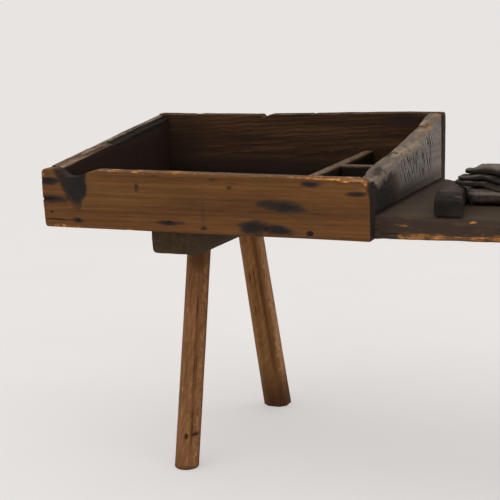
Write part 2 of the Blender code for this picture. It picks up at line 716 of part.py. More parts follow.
def main():
    for item in list(bpy.data.objects):
        bpy.data.objects.remove(item)
    bench = bpy.data.objects.new("bench", None)
    bpy.context.scene.collection.objects.link(bench)

    plank_wood = material("plank_wood", linear(92, 72, 46), 0.6)
    front_wood = material("front_wood", linear(128, 88, 54), 0.55)
    tray_wood = material("tray_wood", linear(88, 64, 44), 0.65)
    end_wood = material("end_wood", linear(120, 100, 80), 0.65)
    divider_wood = material("divider_wood", linear(84, 60, 42), 0.65)
    batten_wood = material("batten_wood", linear(84, 70, 50), 0.7)
    leg_wood = material("leg_wood", linear(112, 82, 54), 0.55)
    wedge_wood = material("wedge_wood", linear(126, 100, 70), 0.6)
    rim_leather = material("rim_leather", linear(52, 46, 42), 0.6)
    hide_leather = material("hide_leather", linear(74, 66, 60), 0.65)
    iron = material("iron", linear(58, 50, 44), 0.6, 0.8)

    top = plank(plank_wood, bench)
    front = front_board(front_wood, bench)
    back = back_board(tray_wood, bench)
    left_end = end_board(
        "left_end_board", LEFT, FRONT_HEIGHT_LEFT, BACK_HEIGHT_LEFT, LEFT_END_HOLLOW, tray_wood, bench
    )
    right_end = end_board(
        "right_end_board",
        RIGHT_END_INNER,
        FRONT_HEIGHT_RIGHT,
        BACK_HEIGHT_RIGHT,
        RIGHT_END_HOLLOW,
        end_wood,
        bench,
    )
    cells(right_end, divider_wood, bench)
    divider = bpy.data.objects["long_divider"]

    middles = {"tray": LEFT + TRAY_BATTEN_FROM_END, "seat": RIGHT - SEAT_BATTEN_FROM_END}
    battens = {end: batten(end + "_batten", x, batten_wood, bench) for end, x in middles.items()}
    for name, sizes in LEGS.items():
        end, side = name.split("_")
        axis = LegAxis(sizes, middles[end], -1 if side == "front" else 1)
        socket = leg(name, axis, sizes, leg_wood, wedge_wood, bench)
        combine(top, socket, "DIFFERENCE")
        combine(battens[end], socket, "DIFFERENCE")

    rim = seat_rim(rim_leather, bench)
    seat_pad(hide_leather, bench)
    bottom = RIM_TOP + FIT_GAP
    for name, sizes in HIDES.items():
        hide(name, sizes, bottom, name == "upper_hide", hide_leather, bench)
        bottom += sizes.thick + FIT_GAP

    walls = [top, left_end, right_end, divider]
    front_nails = long_board_nails(FRONT_NAIL_ROW, FRONT_HEIGHT_LEFT, FRONT_HEIGHT_RIGHT)
    front_places = [(x, FRONT, z) for x, z in front_nails]
    drive_nails("front_nail", front_places, Vector((0, 1, 0)), [front] + walls, iron, bench)
    back_nails = long_board_nails(BACK_NAIL_ROW, BACK_HEIGHT_LEFT, BACK_HEIGHT_RIGHT)
    back_places = [(x, BACK, z) for x, z in back_nails]
    drive_nails("back_nail", back_places, Vector((0, -1, 0)), [back] + walls, iron, bench)
    for end, middle in middles.items():
        across = BATTEN_WIDTH / 2 - NAIL_FROM_BATTEN_SIDE
        ends = (BATTEN_FRONT + NAIL_FROM_BATTEN_END, BATTEN_BACK - NAIL_FROM_BATTEN_END)
        places = [(middle + x, y, PLANK_TOP) for y in ends for x in (-across, across)]
        drive_nails(end + "_batten_nail", places, Vector((0, 0, -1)), [top, battens[end]], iron, bench)
    depths = (RIM_FRONT + NAIL_FROM_RIM_END, RIM_FRONT + NAIL_FROM_RIM_END + RIM_NAIL_SPACING)
    rim_places = [(x, y, RIM_TOP) for y in depths for x in arm_middles(y)]
    drive_nails("rim_nail", rim_places, Vector((0, 0, -1)), [rim, top], iron, bench)


main()
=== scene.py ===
"""Dresses the cobbler's bench: worn boards, hewn legs, iron nails and a leather seat, on a pale floor."""

import math
from collections import namedtuple
from itertools import product

import bmesh
import bpy
import numpy as np
from mathutils import Matrix, Vector


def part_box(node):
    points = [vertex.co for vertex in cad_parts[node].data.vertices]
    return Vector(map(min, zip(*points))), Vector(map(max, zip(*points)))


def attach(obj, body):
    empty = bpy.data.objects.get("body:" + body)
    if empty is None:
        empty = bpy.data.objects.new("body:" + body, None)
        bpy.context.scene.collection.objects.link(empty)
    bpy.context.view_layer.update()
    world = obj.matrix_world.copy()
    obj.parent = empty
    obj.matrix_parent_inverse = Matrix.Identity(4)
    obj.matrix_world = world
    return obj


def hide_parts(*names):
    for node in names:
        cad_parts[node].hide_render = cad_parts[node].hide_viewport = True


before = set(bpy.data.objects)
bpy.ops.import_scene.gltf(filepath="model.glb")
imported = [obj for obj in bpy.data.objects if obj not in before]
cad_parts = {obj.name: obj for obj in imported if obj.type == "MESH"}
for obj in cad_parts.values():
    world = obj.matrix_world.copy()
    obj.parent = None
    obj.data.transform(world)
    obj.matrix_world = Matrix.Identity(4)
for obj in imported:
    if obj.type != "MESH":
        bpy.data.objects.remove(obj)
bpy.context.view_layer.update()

MM = 0.001

# The camera that sees the bench as the photograph does
CAMERA_PLACE = (0.60198, -2.11793, 0.79842)
CAMERA_YAW = 0.399
CAMERA_PITCH = 0.195
CAMERA_ROLL = 0.028
CAMERA_LENS = 94.86
CAMERA_SENSOR = 36.0

# The pale studio
PAPER = (232, 228, 225)
FLOOR_TONE = (232, 227, 224)
FLOOR_MOTTLE = 3
FLOOR_REACH = 9.0
FLOOR_SIDES = 96
FLOOR_FADE_START = 1.6
FLOOR_FADE_END = 4.5
FLOOR_GLOW = 0.5
AMBIENT = 0.98
# Each soft light: where it hangs, what it is aimed at, its width and its power
SOFT_BOXES = {
    "key": ((-1.3, -2.0, 2.6), (0, 0, 0.4), 2.4, 11),
    "top": ((0.3, 0.4, 3.0), (0.1, 0, 0.4), 2.6, 4),
    "side": ((2.6, -1.2, 1.8), (0.1, 0, 0.4), 1.8, 9),
}

# Numbers that scatter the noise's lattice, and how far layers of noise reach when they are added up
LATTICE_PRIMES = (374761393, 668265263, 1274126177)
SEED_STEP = 144665
LAYER_SEED = 31
ROUGH_SPAN = 1.6
# How far the way out at a rounded edge's middle falls short of a face's
EDGE_SHARE = 0.29


def srgb(red, green, blue):
    """A colour read as screen values from 0 to 255, as linear light."""
    shares = []
    for value in (red, green, blue):
        share = value / 255
        shares.append(share / 12.92 if share <= 0.04045 else ((share + 0.055) / 1.055) ** 2.4)
    return (*shares, 1.0)


def smooth(low, high, value):
    """0 below low, 1 above high, and an even S-curve between them."""
    t = np.clip((value - low) / (high - low), 0, 1)
    return t * t * (3 - 2 * t)


def smooth_mm(low, high, value):
    """The same curve between two limits in mm."""
    return smooth(low * MM, high * MM, value)


def bump(distance, reach):
    """1 at no distance, falling smoothly to 0 at the reach."""
    t = np.clip(np.abs(distance) / reach, 0, 1)
    return (1 - t * t) ** 2


def facing(ways, axis, sign):
    """How far each way points along one axis, from 0 to 1."""
    return np.clip(ways[:, axis] * sign, 0, 1)


def course(table, place):
    """The value in metres at each place, from a table of places and values in mm."""
    places, values = table
    return np.interp(place, np.array(places) * MM, np.array(values) * MM)


def lattice_value(cell, seed):
    mixed = (cell * np.array(LATTICE_PRIMES)).sum(axis=1) + seed * SEED_STEP
    mixed = (mixed ^ (mixed >> 13)) * 1103515245
    mixed = mixed ^ (mixed >> 16)
    return (mixed & 65535) / 32767.5 - 1


def noise(points, size, seed):
    """Smooth noise from -1 to 1 at each point, with features of the given size along each axis."""
    place = points / np.asarray(size, float)
    cell = np.floor(place).astype(np.int64)
    part = place - cell
    part = part * part * (3 - 2 * part)
    total = np.zeros(len(points))
    for corner in product((0, 1), repeat=3):
        weight = np.where(np.array(corner), part, 1 - part).prod(axis=1)
        total += weight * lattice_value(cell + np.array(corner), seed)
    return total


def rough_noise(points, size, seed, layers=3):
    """Noise with smaller and smaller features laid over the first."""
    size = np.asarray(size, float)
    total = np.zeros(len(points))
    for layer in range(layers):
        total += noise(points, size / 2**layer, seed + LAYER_SEED * layer) / 2**layer
    return total / ROUGH_SPAN


def patchy(low, high, points, size, seed, layers=3):
    """Patches of rough noise: 0 where it is below low and 1 where it is above high."""
    return smooth(low, high, rough_noise(points, size, seed, layers))


def along_noise(values, size, seed):
    """Noise along one line of values."""
    points = np.zeros((len(values), 3))
    points[:, 0] = values
    return noise(points, size, seed)


def stations(length, fine, coarse, border):
    """Grid lines along one side of a slab, closer together near its ends."""
    if border * 2 >= length:
        return np.linspace(0, length, max(3, round(length / fine) + 1))
    near = np.linspace(0, border, round(border / fine), endpoint=False)
    middle = np.linspace(border, length - border, round((length - 2 * border) / coarse), endpoint=False)
    return np.concatenate([near, middle, length - near[::-1]])


def slab_grid(a, b, c):
    """Points and quads of a closed box with a grid line at each station of its three sides."""
    counts = (len(a), len(b), len(c))
    quads = []
    for axis in range(3):
        u_axis, v_axis = [other for other in range(3) if other != axis]
        u, v = np.meshgrid(np.arange(counts[u_axis]), np.arange(counts[v_axis]), indexing="ij")
        for side in (0, counts[axis] - 1):
            index = [None, None, None]
            index[axis] = np.full(u.shape, side)
            index[u_axis] = u
            index[v_axis] = v
            key = (index[0] * counts[1] + index[1]) * counts[2] + index[2]
            corners = [key[:-1, :-1], key[1:, :-1], key[1:, 1:], key[:-1, 1:]]
            quads.append(np.stack(corners, -1).reshape(-1, 4))
    used, quads = np.unique(np.concatenate(quads), return_inverse=True)
    i, rest = np.divmod(used, counts[1] * counts[2])
    j, k = np.divmod(rest, counts[2])
    return np.stack([a[i], b[j], c[k]], axis=1), quads.reshape(-1, 4).tolist()


def closed_rings(count, around):
    """Quads between rings of points that follow one another, and a face over each end."""
    faces = []
    for ring in range(count - 1):
        first = ring * around
        for step in range(around):
            after = (step + 1) % around
            faces.append([first + step, first + after, first + around + after, first + around + step])
    faces.append(list(range(around)))
    faces.append(list(range((count - 1) * around, count * around)))
    return faces


def rounded(points, size, radius):
    """A box's points with edges rounded by each point's own radius, the way out, and nearness to an edge."""
    radius = radius[:, None]
    inner = np.clip(points, radius, np.maximum(size - radius, radius))
    out = points - inner
    out = out / np.maximum(np.linalg.norm(out, axis=1), 1e-9)[:, None]
    edge = np.clip((1 - np.abs(out).max(axis=1)) / EDGE_SHARE, 0, 1)
    return inner + out * radius, out, edge


def corner_drop(place, radius):
    """How far a rounded corner falls short of the square one, this far in from the end."""
    short = np.clip(radius - place, 0, radius)
    return radius - np.sqrt(radius**2 - short**2)


def add_object(name, data):
    made = bpy.data.objects.new(name, data)
    bpy.context.collection.objects.link(made)
    return made


def mesh_piece(name, points, faces, material=None, masks=None):
    """A smooth-shaded mesh object whose masks are kept on its points for its material."""
    mesh = bpy.data.meshes.new(name)
    mesh.from_pydata(points.tolist(), [], faces)
    shell = bmesh.new()
    shell.from_mesh(mesh)
    bmesh.ops.recalc_face_normals(shell, faces=shell.faces)
    shell.to_mesh(mesh)
    shell.free()
    mesh.shade_smooth()
    for label, values in (masks or {}).items():
        layer = mesh.attributes.new(label, "FLOAT", "POINT")
        layer.data.foreach_set("value", np.clip(values, 0, 1).astype(np.float32))
    if material:
        mesh.materials.append(material)
    return add_object(name, mesh)


def stand_for(piece, node):
    """The piece takes a CAD node's place on the bench."""
    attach(piece, "root")
    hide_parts(node)


def carve(piece, tool):
    """Cuts the tool out of the piece and takes the tool away."""
    cut = piece.modifiers.new("cut", "BOOLEAN")
    cut.operation = "DIFFERENCE"
    cut.solver = "MANIFOLD"
    cut.object = tool
    shown = piece.evaluated_get(bpy.context.evaluated_depsgraph_get())
    carved = bpy.data.meshes.new_from_object(shown)
    piece.modifiers.clear()
    piece.data = carved
    bpy.data.objects.remove(tool)


def box_middle(node):
    low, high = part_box(node)
    return (np.array(low) + np.array(high)) / 2


def named(prefix, count):
    return [f"{prefix}_{number}" for number in range(1, count + 1)]


class Shader:
    """The nodes of a material or a world, added one at a time."""

    def __init__(self, owner):
        owner.use_nodes = True
        self.owner = owner
        self.tree = owner.node_tree
        self.tree.nodes.clear()

    def node(self, kind, inputs=None, **settings):
        made = self.tree.nodes.new("ShaderNode" + kind)
        for key, value in settings.items():
            setattr(made, key, value)
        for key, value in (inputs or {}).items():
            if isinstance(value, bpy.types.NodeSocket):
                self.tree.links.new(value, made.inputs[key])
            else:
                made.inputs[key].default_value = value
        return made

    def place(self):
        return self.node("TexCoord").outputs["Object"]

    def mapped(self, vector, scale=(1, 1, 1), shift=(0, 0, 0), turn=(0, 0, 0)):
        inputs = {"Vector": vector, "Scale": scale, "Location": shift, "Rotation": turn}
        return self.node("Mapping", inputs).outputs["Vector"]

    def noise(self, vector, scale, detail=3.0, roughness=0.55, output="Fac"):
        inputs = {"Vector": vector, "Scale": scale, "Detail": detail, "Roughness": roughness}
        return self.node("TexNoise", inputs).outputs[output]

    def math(self, operation, first, second=0.0, clamp=False):
        made = self.node("Math", {0: first, 1: second}, operation=operation, use_clamp=clamp)
        return made.outputs[0]

    def sum(self, *parts):
        """The parts added up, each a value and its share."""
        total = None
        for value, share in parts:
            sized = self.math("MULTIPLY", value, share)
            total = sized if total is None else self.math("ADD", total, sized)
        return total

    def shift(self, vector, other, amount):
        """The vector moved by noise colour, by the amount along each axis."""
        for operation, value in (("SUBTRACT", (0.5, 0.5, 0.5)), ("MULTIPLY", amount), ("ADD", vector)):
            other = self.node("VectorMath", {0: other, 1: value}, operation=operation).outputs[0]
        return other

    def ramp(self, share, stops):
        made = self.node("ValToRGB", {"Fac": share})
        points = made.color_ramp.elements
        while len(points) < len(stops):
            points.new(0.5)
        for point, (position, colour) in zip(points, stops):
            point.position = position
            point.color = colour if hasattr(colour, "__len__") else (colour, colour, colour, 1)
        return made.outputs["Color"]

    def tones(self, share, middle, spread, colours):
        """Three screen colours, the middle one at the middle and the others this far from it."""
        places = (middle - spread, middle, middle + spread)
        return self.ramp(share, [(place, srgb(*colour)) for place, colour in zip(places, colours)])

    def mix(self, share, first, second, blend="MIX"):
        made = self.node("Mix", {0: share, 6: first, 7: second}, data_type="RGBA", blend_type=blend)
        return made.outputs[2]

    def mask(self, label):
        return self.node("Attribute", attribute_name=label, attribute_type="GEOMETRY").outputs["Fac"]

    def between(self, value, low, high, first=0.0, last=1.0):
        """The value spread so that low gives the first and high gives the last."""
        inputs = {"Value": value, "From Min": low, "From Max": high, "To Min": first, "To Max": last}
        return self.node("MapRange", inputs, interpolation_type="SMOOTHSTEP").outputs["Result"]

    def seen_directly(self):
        """1 for rays that show a thing to the eye: straight, by reflection or through glass."""
        rays = self.node("LightPath").outputs
        seen = self.math("MAXIMUM", rays["Is Camera Ray"], rays["Is Glossy Ray"])
        return self.math("MAXIMUM", seen, rays["Is Transmission Ray"])

    def blend(self, share, first, second, output):
        """Ends in two surfaces mixed by the share."""
        mixed = self.node("MixShader", {0: share, 1: first.outputs[0], 2: second.outputs[0]})
        self.node(output, {"Surface": mixed.outputs[0]})

    def finish(self, colour, roughness, height, strength, depth, specular, **extra):
        bumps = {"Height": height, "Strength": strength, "Distance": depth}
        inputs = {"Base Color": colour, "Roughness": roughness, "Specular IOR Level": specular}
        inputs["Normal"] = self.node("Bump", bumps).outputs["Normal"]
        inputs.update(extra)
        surface = self.node("BsdfPrincipled", inputs)
        self.node("OutputMaterial", {"Surface": surface.outputs["BSDF"]})
        return self.owner


# How fast the grain and its short flecks change along each axis, by the way that a board's fibres run
GRAIN_ALONG = {"x": (0.035, 1, 1), "y": (1, 0.035, 1), "z": (1, 1, 0.035)}
FLECK_ALONG = {"x": (0.1, 1, 1), "y": (1, 0.1, 1), "z": (1, 1, 0.1)}
# Noise scales in wood, from broad to fine
DRIFT_SCALE = 9.0
SWAY_SCALE = 14.0
BLOTCH_SCALE = 16.0
RING_SCALE = 62.0
STREAK_SCALE = 95.0
SPECKLE_SCALE = 120.0
FLECK_SCALE = 420.0
FIBRE_SCALE = 800.0
SWAY = (0.012, 0.012, 0.012)
DRIFT_PLACE = (3.1, 1.7, 2.3)
TONE_SPREAD = 0.17
WORN_SPREAD = 0.12
WORN_FRAY = 1.25
CUT_TONE = srgb(18, 13, 10)
WOOD_SPECULAR = 0.09
WOOD_RELIEF = 0.35
BUMP_DEPTH = 1 * MM

# Knife cuts in a scored face: lean, shift, and how many of the cuts are left out
SCORE_SETS = ((-1.12, 0.0, 0.1), (-0.98, 3.7, 0.3), (1.2, 7.1, 0.6))
SCORE_ALONG = 14.0
SCORE_ACROSS = 86.0
SCORE_REACH = 0.3
SCORE_RIDGE_SHIFT = 2.2 * MM
SCORE_BEND_SCALE = 30.0
SCORE_BEND = (0.006, 0.004, 0)
COMBING = (12, 95, 0)


def score_set(shader, flat, lean, shift, left_out):
    """One set of leaning cuts in a flat face: how deep each place is in a cut."""
    turned = shader.mapped(flat, turn=(0, 0, -lean))
    spread = shader.mapped(turned, (SCORE_ALONG, SCORE_ACROSS, 0), (shift, shift, 0))
    cells = shader.node("TexVoronoi", {"Vector": spread, "Scale": 1.0}, voronoi_dimensions="2D")
    kept = shader.node("SeparateColor", {"Color": cells.outputs["Color"]}).outputs[0]
    kept = shader.math("GREATER_THAN", kept, left_out)
    depth = shader.between(cells.outputs["Distance"], SCORE_REACH * 0.4, SCORE_REACH, 1.0, 0.0)
    return shader.math("MULTIPLY", depth, kept)


def scored_face(shader, place):
    """Knife cuts over a face that looks along X: the cuts, pale ridges beside them, and a soft combing."""
    parts = shader.node("SeparateXYZ", {"Vector": place}).outputs
    bend = shader.noise(place, SCORE_BEND_SCALE, 2.0, 0.5, "Color")
    flat = shader.node("CombineXYZ", {"X": parts["Y"], "Y": parts["Z"]}).outputs[0]
    flat = shader.shift(flat, bend, SCORE_BEND)
    beside = shader.mapped(flat, shift=(SCORE_RIDGE_SHIFT, 0, 0))
    cuts = None
    ridges = None
    for cut_set in SCORE_SETS:
        own = score_set(shader, flat, *cut_set)
        near = score_set(shader, beside, *cut_set)
        cuts = own if cuts is None else shader.math("MAXIMUM", cuts, own)
        ridges = near if ridges is None else shader.math("MAXIMUM", ridges, near)
    turned = shader.mapped(flat, turn=(0, 0, -SCORE_SETS[0][0]))
    combing = shader.noise(shader.mapped(turned, COMBING), 1.0, 3.0, 0.6)
    return cuts, shader.math("SUBTRACT", ridges, cuts, True), combing


def wood(name, along, tones, hues, worn=None, bare=None, stain=None, scored=None, pith=(0, 0, 0),
         tilt=(0, 0, 0), rings=1.0, ring_share=0.1, swirl=1.2, patch=0.22, fray=(0.4, 0.6, 0)):
    """Old softwood: rings and fibres along one axis, drifting hue, blotchy grime, pale worn edges with some
    painted light, dark stains with some painted shade.

    worn holds three screen colours, and bare three for edges that are freshly broken. stain holds two: where
    its mask is weak and where it is full. scored is the colour of the ridges beside knife cuts."""
    shader = Shader(bpy.data.materials.new(name))
    place = shader.place()
    sway = shader.noise(shader.mapped(place, GRAIN_ALONG[along]), SWAY_SCALE, 2.0, 0.5, "Color")
    swayed = shader.shift(place, sway, SWAY)
    stretched = shader.mapped(swayed, GRAIN_ALONG[along])
    streaks = shader.noise(stretched, STREAK_SCALE, 5.0, 0.62)
    fibres = shader.noise(stretched, FIBRE_SCALE, 3.0, 0.6)
    flecks = shader.noise(shader.mapped(swayed, FLECK_ALONG[along]), FLECK_SCALE, 3.0, 0.6)
    speckle = shader.noise(place, SPECKLE_SCALE, 4.0, 0.62)
    broad = shader.mapped(place, tuple(0.25 + 0.75 * share for share in GRAIN_ALONG[along]))
    blotches = shader.noise(broad, BLOTCH_SCALE, 4.0, 0.6)
    drift = shader.noise(shader.mapped(broad, shift=DRIFT_PLACE), DRIFT_SCALE)
    ring_inputs = {"Vector": shader.mapped(swayed, (1, 1, 1), pith, tilt), "Scale": RING_SCALE * rings,
                   "Distortion": swirl, "Detail": 3.0, "Detail Scale": 0.6}
    ring = shader.node("TexWave", ring_inputs, wave_type="RINGS", rings_direction=along.upper(),
                       wave_profile="SAW").outputs["Fac"]

    tone = shader.sum((streaks, 0.58), (fibres, 0.26), (flecks, 0.16), (ring, -ring_share))
    colour = shader.tones(tone, 0.5 - ring_share / 2, TONE_SPREAD, tones)
    grime = shader.ramp(blotches, [(0.3, 1 - patch), (0.5, 1.0), (0.7, 1 + patch * 0.4)])
    colour = shader.mix(1.0, colour, grime, "MULTIPLY")
    colour = shader.mix(1.0, colour, shader.ramp(drift, [(0.36, hues[0]), (0.64, hues[1])]), "MULTIPLY")
    height = shader.sum((fibres, 0.5), (streaks, 0.7), (ring, -ring_share), (speckle, 0.25))

    if scored:
        cuts, ridges, combing = scored_face(shader, place)
        region = shader.mask("scored")
        combed = shader.ramp(combing, [(0.32, 0.7), (0.5, 1.0), (0.68, 1.2)])
        colour = shader.mix(region, colour, shader.mix(1.0, colour, combed, "MULTIPLY"))
        pale = shader.math("MULTIPLY", ridges, region)
        colour = shader.mix(shader.sum((pale, 0.85)), colour, srgb(*scored))
        deep = shader.math("MULTIPLY", cuts, region)
        colour = shader.mix(shader.sum((deep, 0.95)), colour, CUT_TONE)
        height = shader.sum((height, 1.0), (deep, -1.2), (shader.math("MULTIPLY", combing, region), 0.6))
    if worn:
        fibrous = shader.sum((flecks, fray[0]), (speckle, fray[1]), (streaks, fray[2]))
        rubbed = shader.sum((shader.mask("worn"), 1.0), (fibrous, WORN_FRAY))
        tint = shader.tones(fibrous, 0.5, WORN_SPREAD, worn)
        if bare:
            tint = shader.mix(shader.mask("bare"), tint, shader.tones(fibrous, 0.5, WORN_SPREAD, bare))
        colour = shader.mix(shader.between(rubbed, 0.92, 1.36), colour, tint)
    if stain:
        weak, full = stain
        spread = shader.sum((streaks, 0.4), (blotches, 0.2), (flecks, 0.25))
        soaked = shader.math("ADD", shader.mask("stain"), shader.math("SUBTRACT", spread, 0.42))
        colour = shader.mix(shader.between(soaked, 0.04, 0.6), colour, srgb(*weak))
        colour = shader.mix(shader.between(soaked, 0.42, 0.98), colour, srgb(*full))
    colour = shader.mix(shader.mask("cut"), colour, CUT_TONE)
    gloss = shader.between(streaks, 0.3, 0.7, 0.62, 0.82)
    return shader.finish(colour, gloss, height, WOOD_RELIEF, BUMP_DEPTH, WOOD_SPECULAR)


def rusted_iron():
    """Hand-forged nail iron, brown-black with rust in its hollows."""
    shader = Shader(bpy.data.materials.new("rusted_iron"))
    place = shader.place()
    pits = shader.noise(place, 420.0, 5.0, 0.7)
    patches = shader.noise(place, 90.0, 3.0, 0.5)
    rust = [(0.32, srgb(17, 14, 12)), (0.5, srgb(32, 25, 21)), (0.7, srgb(58, 39, 28))]
    colour = shader.mix(shader.between(patches, 0.5, 0.7), shader.ramp(pits, rust), srgb(26, 23, 21))
    gloss = shader.ramp(pits, [(0.3, 0.65), (0.7, 0.9)])
    return shader.finish(colour, gloss, pits, 0.5, 0.6 * MM, 0.2, Metallic=0.3)


def old_leather(name, tones, dust, rubbed):
    """Cracked, greasy old hide: dust on its ridges, partly painted light, fine creases all over, brown where
    it is rubbed, and near-black painted shade where the cut mask is set.
    """
    shader = Shader(bpy.data.materials.new(name))
    place = shader.place()
    sway = shader.noise(place, 30.0, 2.0, 0.5, "Color")
    swayed = shader.shift(place, sway, (0.01, 0.01, 0.01))
    cell_inputs = {"Vector": swayed, "Scale": 260.0}
    cells = shader.node("TexVoronoi", cell_inputs, feature="DISTANCE_TO_EDGE").outputs["Distance"]
    creases = shader.between(cells, 0.0, 0.12)
    patches = shader.noise(place, 26.0, 4.0, 0.6)
    scuffs = shader.noise(shader.mapped(swayed, (0.25, 1, 1)), 160.0, 5.0, 0.65)
    colour = shader.tones(patches, 0.5, 0.2, tones)
    dusty = shader.math("ADD", shader.mask("worn"), shader.math("MULTIPLY", scuffs, 0.8))
    colour = shader.mix(shader.between(dusty, 0.62, 1.15), colour, srgb(*dust))
    bare = shader.math("ADD", shader.mask("stain"), shader.math("MULTIPLY", scuffs, 0.6))
    colour = shader.mix(shader.between(bare, 0.7, 1.2), colour, srgb(*rubbed))
    # Near-black painted shade in creases, hollows and undersides, where the cut mask is set
    colour = shader.mix(shader.mask("cut"), colour, srgb(12, 10, 9))
    height = shader.sum((creases, 0.5), (scuffs, 0.6))
    gloss = shader.between(scuffs, 0.3, 0.7, 0.65, 0.85)
    return shader.finish(colour, gloss, height, 0.45, BUMP_DEPTH, 0.07)


# On some pieces worn also carries painted light, and stain and cut carry painted shade
MASKS = ("worn", "bare", "stain", "cut", "scored")
# The ways that a slab's faces look, as one of its own axes and a sign
WAYS = {"left": (0, -1), "right": (0, 1), "down": (1, -1), "up": (1, 1), "near": (2, -1), "far": (2, 1)}


class Slab:
    """A worn board: a gridded box whose edges, faces and outline are shaped before it is put in place.

    Its own axes are a along the grain, b upwards and c through it. In a CAD node's box each one follows the
    world axis that axes names. Along each of them, fine is the grid's step near the edges, coarse the step
    between, and borders the width of the fine strips, in mm."""

    def __init__(self, node, axes, fine, coarse, borders=(12, 12, 12), tall=None):
        self.origin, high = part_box(node)
        self.order = ["xyz".index(axis) for axis in axes]
        size = [high[n] - self.origin[n] for n in self.order]
        if tall:
            size[1] = tall
        lines = []
        for n, length in enumerate(size):
            lines.append(stations(length, fine[n] * MM, coarse[n] * MM, borders[n] * MM))
        self.size = np.array(size, float)
        self.points, self.faces = slab_grid(*lines)
        self.grid = self.points.copy()
        self.along, self.level, self.through = self.grid.T
        self.low = np.zeros(len(self.points))
        self.tall = np.full(len(self.points), self.size[1])
        self.masks = {label: np.zeros(len(self.points)) for label in MASKS}

    def shape(self, low, high):
        """The slab's height runs from low to high, each given at every point's place along it."""
        self.low = low
        self.tall = high - low
        self.points[:, 1] = self.tall * self.level / self.size[1]

    def round_off(self, radius, least=None, most=None):
        """Rounds the edges by each point's own radius, and puts the shaped height on its lower outline."""
        if least:
            radius = np.clip(radius, least * MM, most * MM)
        flat = np.ones(len(self.points))
        size = np.stack([flat * self.size[0], self.tall, flat * self.size[2]], 1)
        self.points, self.out, self.edge = rounded(self.points, size, radius)
        self.points[:, 1] += self.low

    def toward(self, way):
        """How far each point looks this way, from 0 to 1."""
        return facing(self.out, *WAYS[way])

    def upper(self, low, high=1.0):
        """How far up the slab each point is, between two shares of its height."""
        return smooth(low, high, self.level / self.size[1])

    def sink(self, depth):
        """Moves each point inwards by its own depth."""
        self.points -= self.out * depth[:, None]

    def piece(self, name, material):
        """The finished object, kept inside its box."""
        world = np.zeros_like(self.points)
        for own, axis in enumerate(self.order):
            world[:, axis] = np.clip(self.points[:, own], 0, self.size[own])
        return mesh_piece(name, world + np.array(self.origin), self.faces, material, self.masks)


def weathering(slab, seed, grain=0.14, swell=0.3):
    """Depth of the hollows that age leaves in a board's faces, with ridges along the grain; sizes in mm."""
    waves = (rough_noise(slab.points, (0.16, 0.035, 0.035), seed) + 0.7) * (swell * MM)
    ridges = (rough_noise(slab.points, (0.07, 0.005, 0.005), seed + 7, 2) + 0.7) * (grain * MM)
    return waves + ridges


def dents(slab, seed, count, reach, deep, plane=(0, 1)):
    """Depth of scattered knocks on the faces that lie in a plane of two axes; reach and depth in mm."""
    dice = np.random.default_rng(seed)
    depth = np.zeros(len(slab.points))
    first, second = (slab.points[:, axis] for axis in plane)
    for _ in range(count):
        centre = dice.uniform((0, 0), slab.size[list(plane)])
        wide = dice.uniform(reach[0] * MM, reach[1] * MM)
        stretch = dice.uniform(1, 2.4)
        far = np.hypot((first - centre[0]) / stretch, second - centre[1])
        depth = np.maximum(depth, bump(far, wide) * (deep * MM) * dice.uniform(0.3, 1))
    return depth


# How far a soft mark spreads past its half sizes
MARK_SPREAD = 1.6


def spots(along, up, marks, fray=0.0):
    """How dark each point is under soft marks with frayed edges: centre, half sizes in mm, and strength."""
    dark = np.zeros(len(along))
    ragged = rough_noise(np.column_stack([along, up, np.zeros(len(along))]), (0.026, 0.009, 1), 18) * fray
    for middle, level, half_length, half_height, strength in marks:
        far = np.hypot((along / MM - middle) / half_length, (up / MM - level) / half_height) + ragged
        dark = np.maximum(dark, bump(far, MARK_SPREAD) * strength)
    return dark


# The pits over sunk nail heads, and how much further their stain runs along the grain than across it
PIT_DEEP = 0.8 * MM
PIT_STAIN = 0.85
NAIL_STRETCH = 1.5


def nail_pits(slab, way, names):
    """Small pits over the sunk nail heads on the near or far face: depth, and the iron stain round them."""
    depth = np.zeros(len(slab.points))
    stain = np.zeros(len(slab.points))
    open_face = slab.toward(way) > 0.6
    for name in names:
        away = slab.points - (box_middle(name) - np.array(slab.origin))[slab.order]
        far = np.hypot(away[:, 0] / NAIL_STRETCH, away[:, 1])
        depth = np.maximum(depth, (1 - smooth_mm(2.6, 4, far)) * PIT_DEEP * open_face)
        stain = np.maximum(stain, (1 - smooth_mm(2.4, 5.4, far)) * PIT_STAIN * open_face)
    return depth, stain


# Front board: burns, knots and iron stains on its face, as distance from the plank's left end, height above
# the board's underside, half sizes in mm, and strength
FRONT_MARKS = [
    (8, 79, 24, 6, 0.85), (12, 48, 30, 7, 0.85), (59, 13, 12, 3.8, 1.0), (172, 73, 4, 7, 0.6),
    (229, 16, 23, 4, 1.05), (290, 36, 5.5, 28, 0.35), (291, 10, 6, 4, 0.7), (308, 89, 8, 2.8, 0.6),
    (337, 77, 5, 3.6, 0.5), (380, 13, 27, 11, 1.0), (415, 12, 26, 9, 1.0), (404, 53, 22, 6, 0.8),
    (438, 48, 25, 10, 1.05), (418, 50, 24, 7.5, 0.85), (472, 86, 17, 4.6, 1.05), (550, 73, 18, 4, 0.85),
    (270, 50, 30, 8, 0.3), (472, 7, 4.5, 2, 0.9), (9.5, 26, 4, 2.2, 1.0), (120, 88, 16, 3, 0.3),
    (205, 91, 12, 3, 0.35), (345, 84, 14, 3, 0.3),
]
# Small places where the front board's edges are freshly broken: distance along, height, half sizes, strength
FRONT_BARE = [
    (128, 97, 9, 3, 0.8), (172, 96, 8, 3, 1.0), (186, 95, 5, 2, 0.8), (241, 96, 12, 3, 1.0),
    (258, 95, 6, 2, 0.7), (34, 3, 52, 5, 1.0), (160, 1, 18, 3, 0.9), (-4, 88, 6, 14, 1.0),
    (-3, 60, 4, 12, 0.8), (2, 33, 4, 10, 0.6), (556, 82, 9, 6, 1.0), (530, 93, 8, 3, 1.0),
    (508, 88, 14, 2.4, 0.9),
]
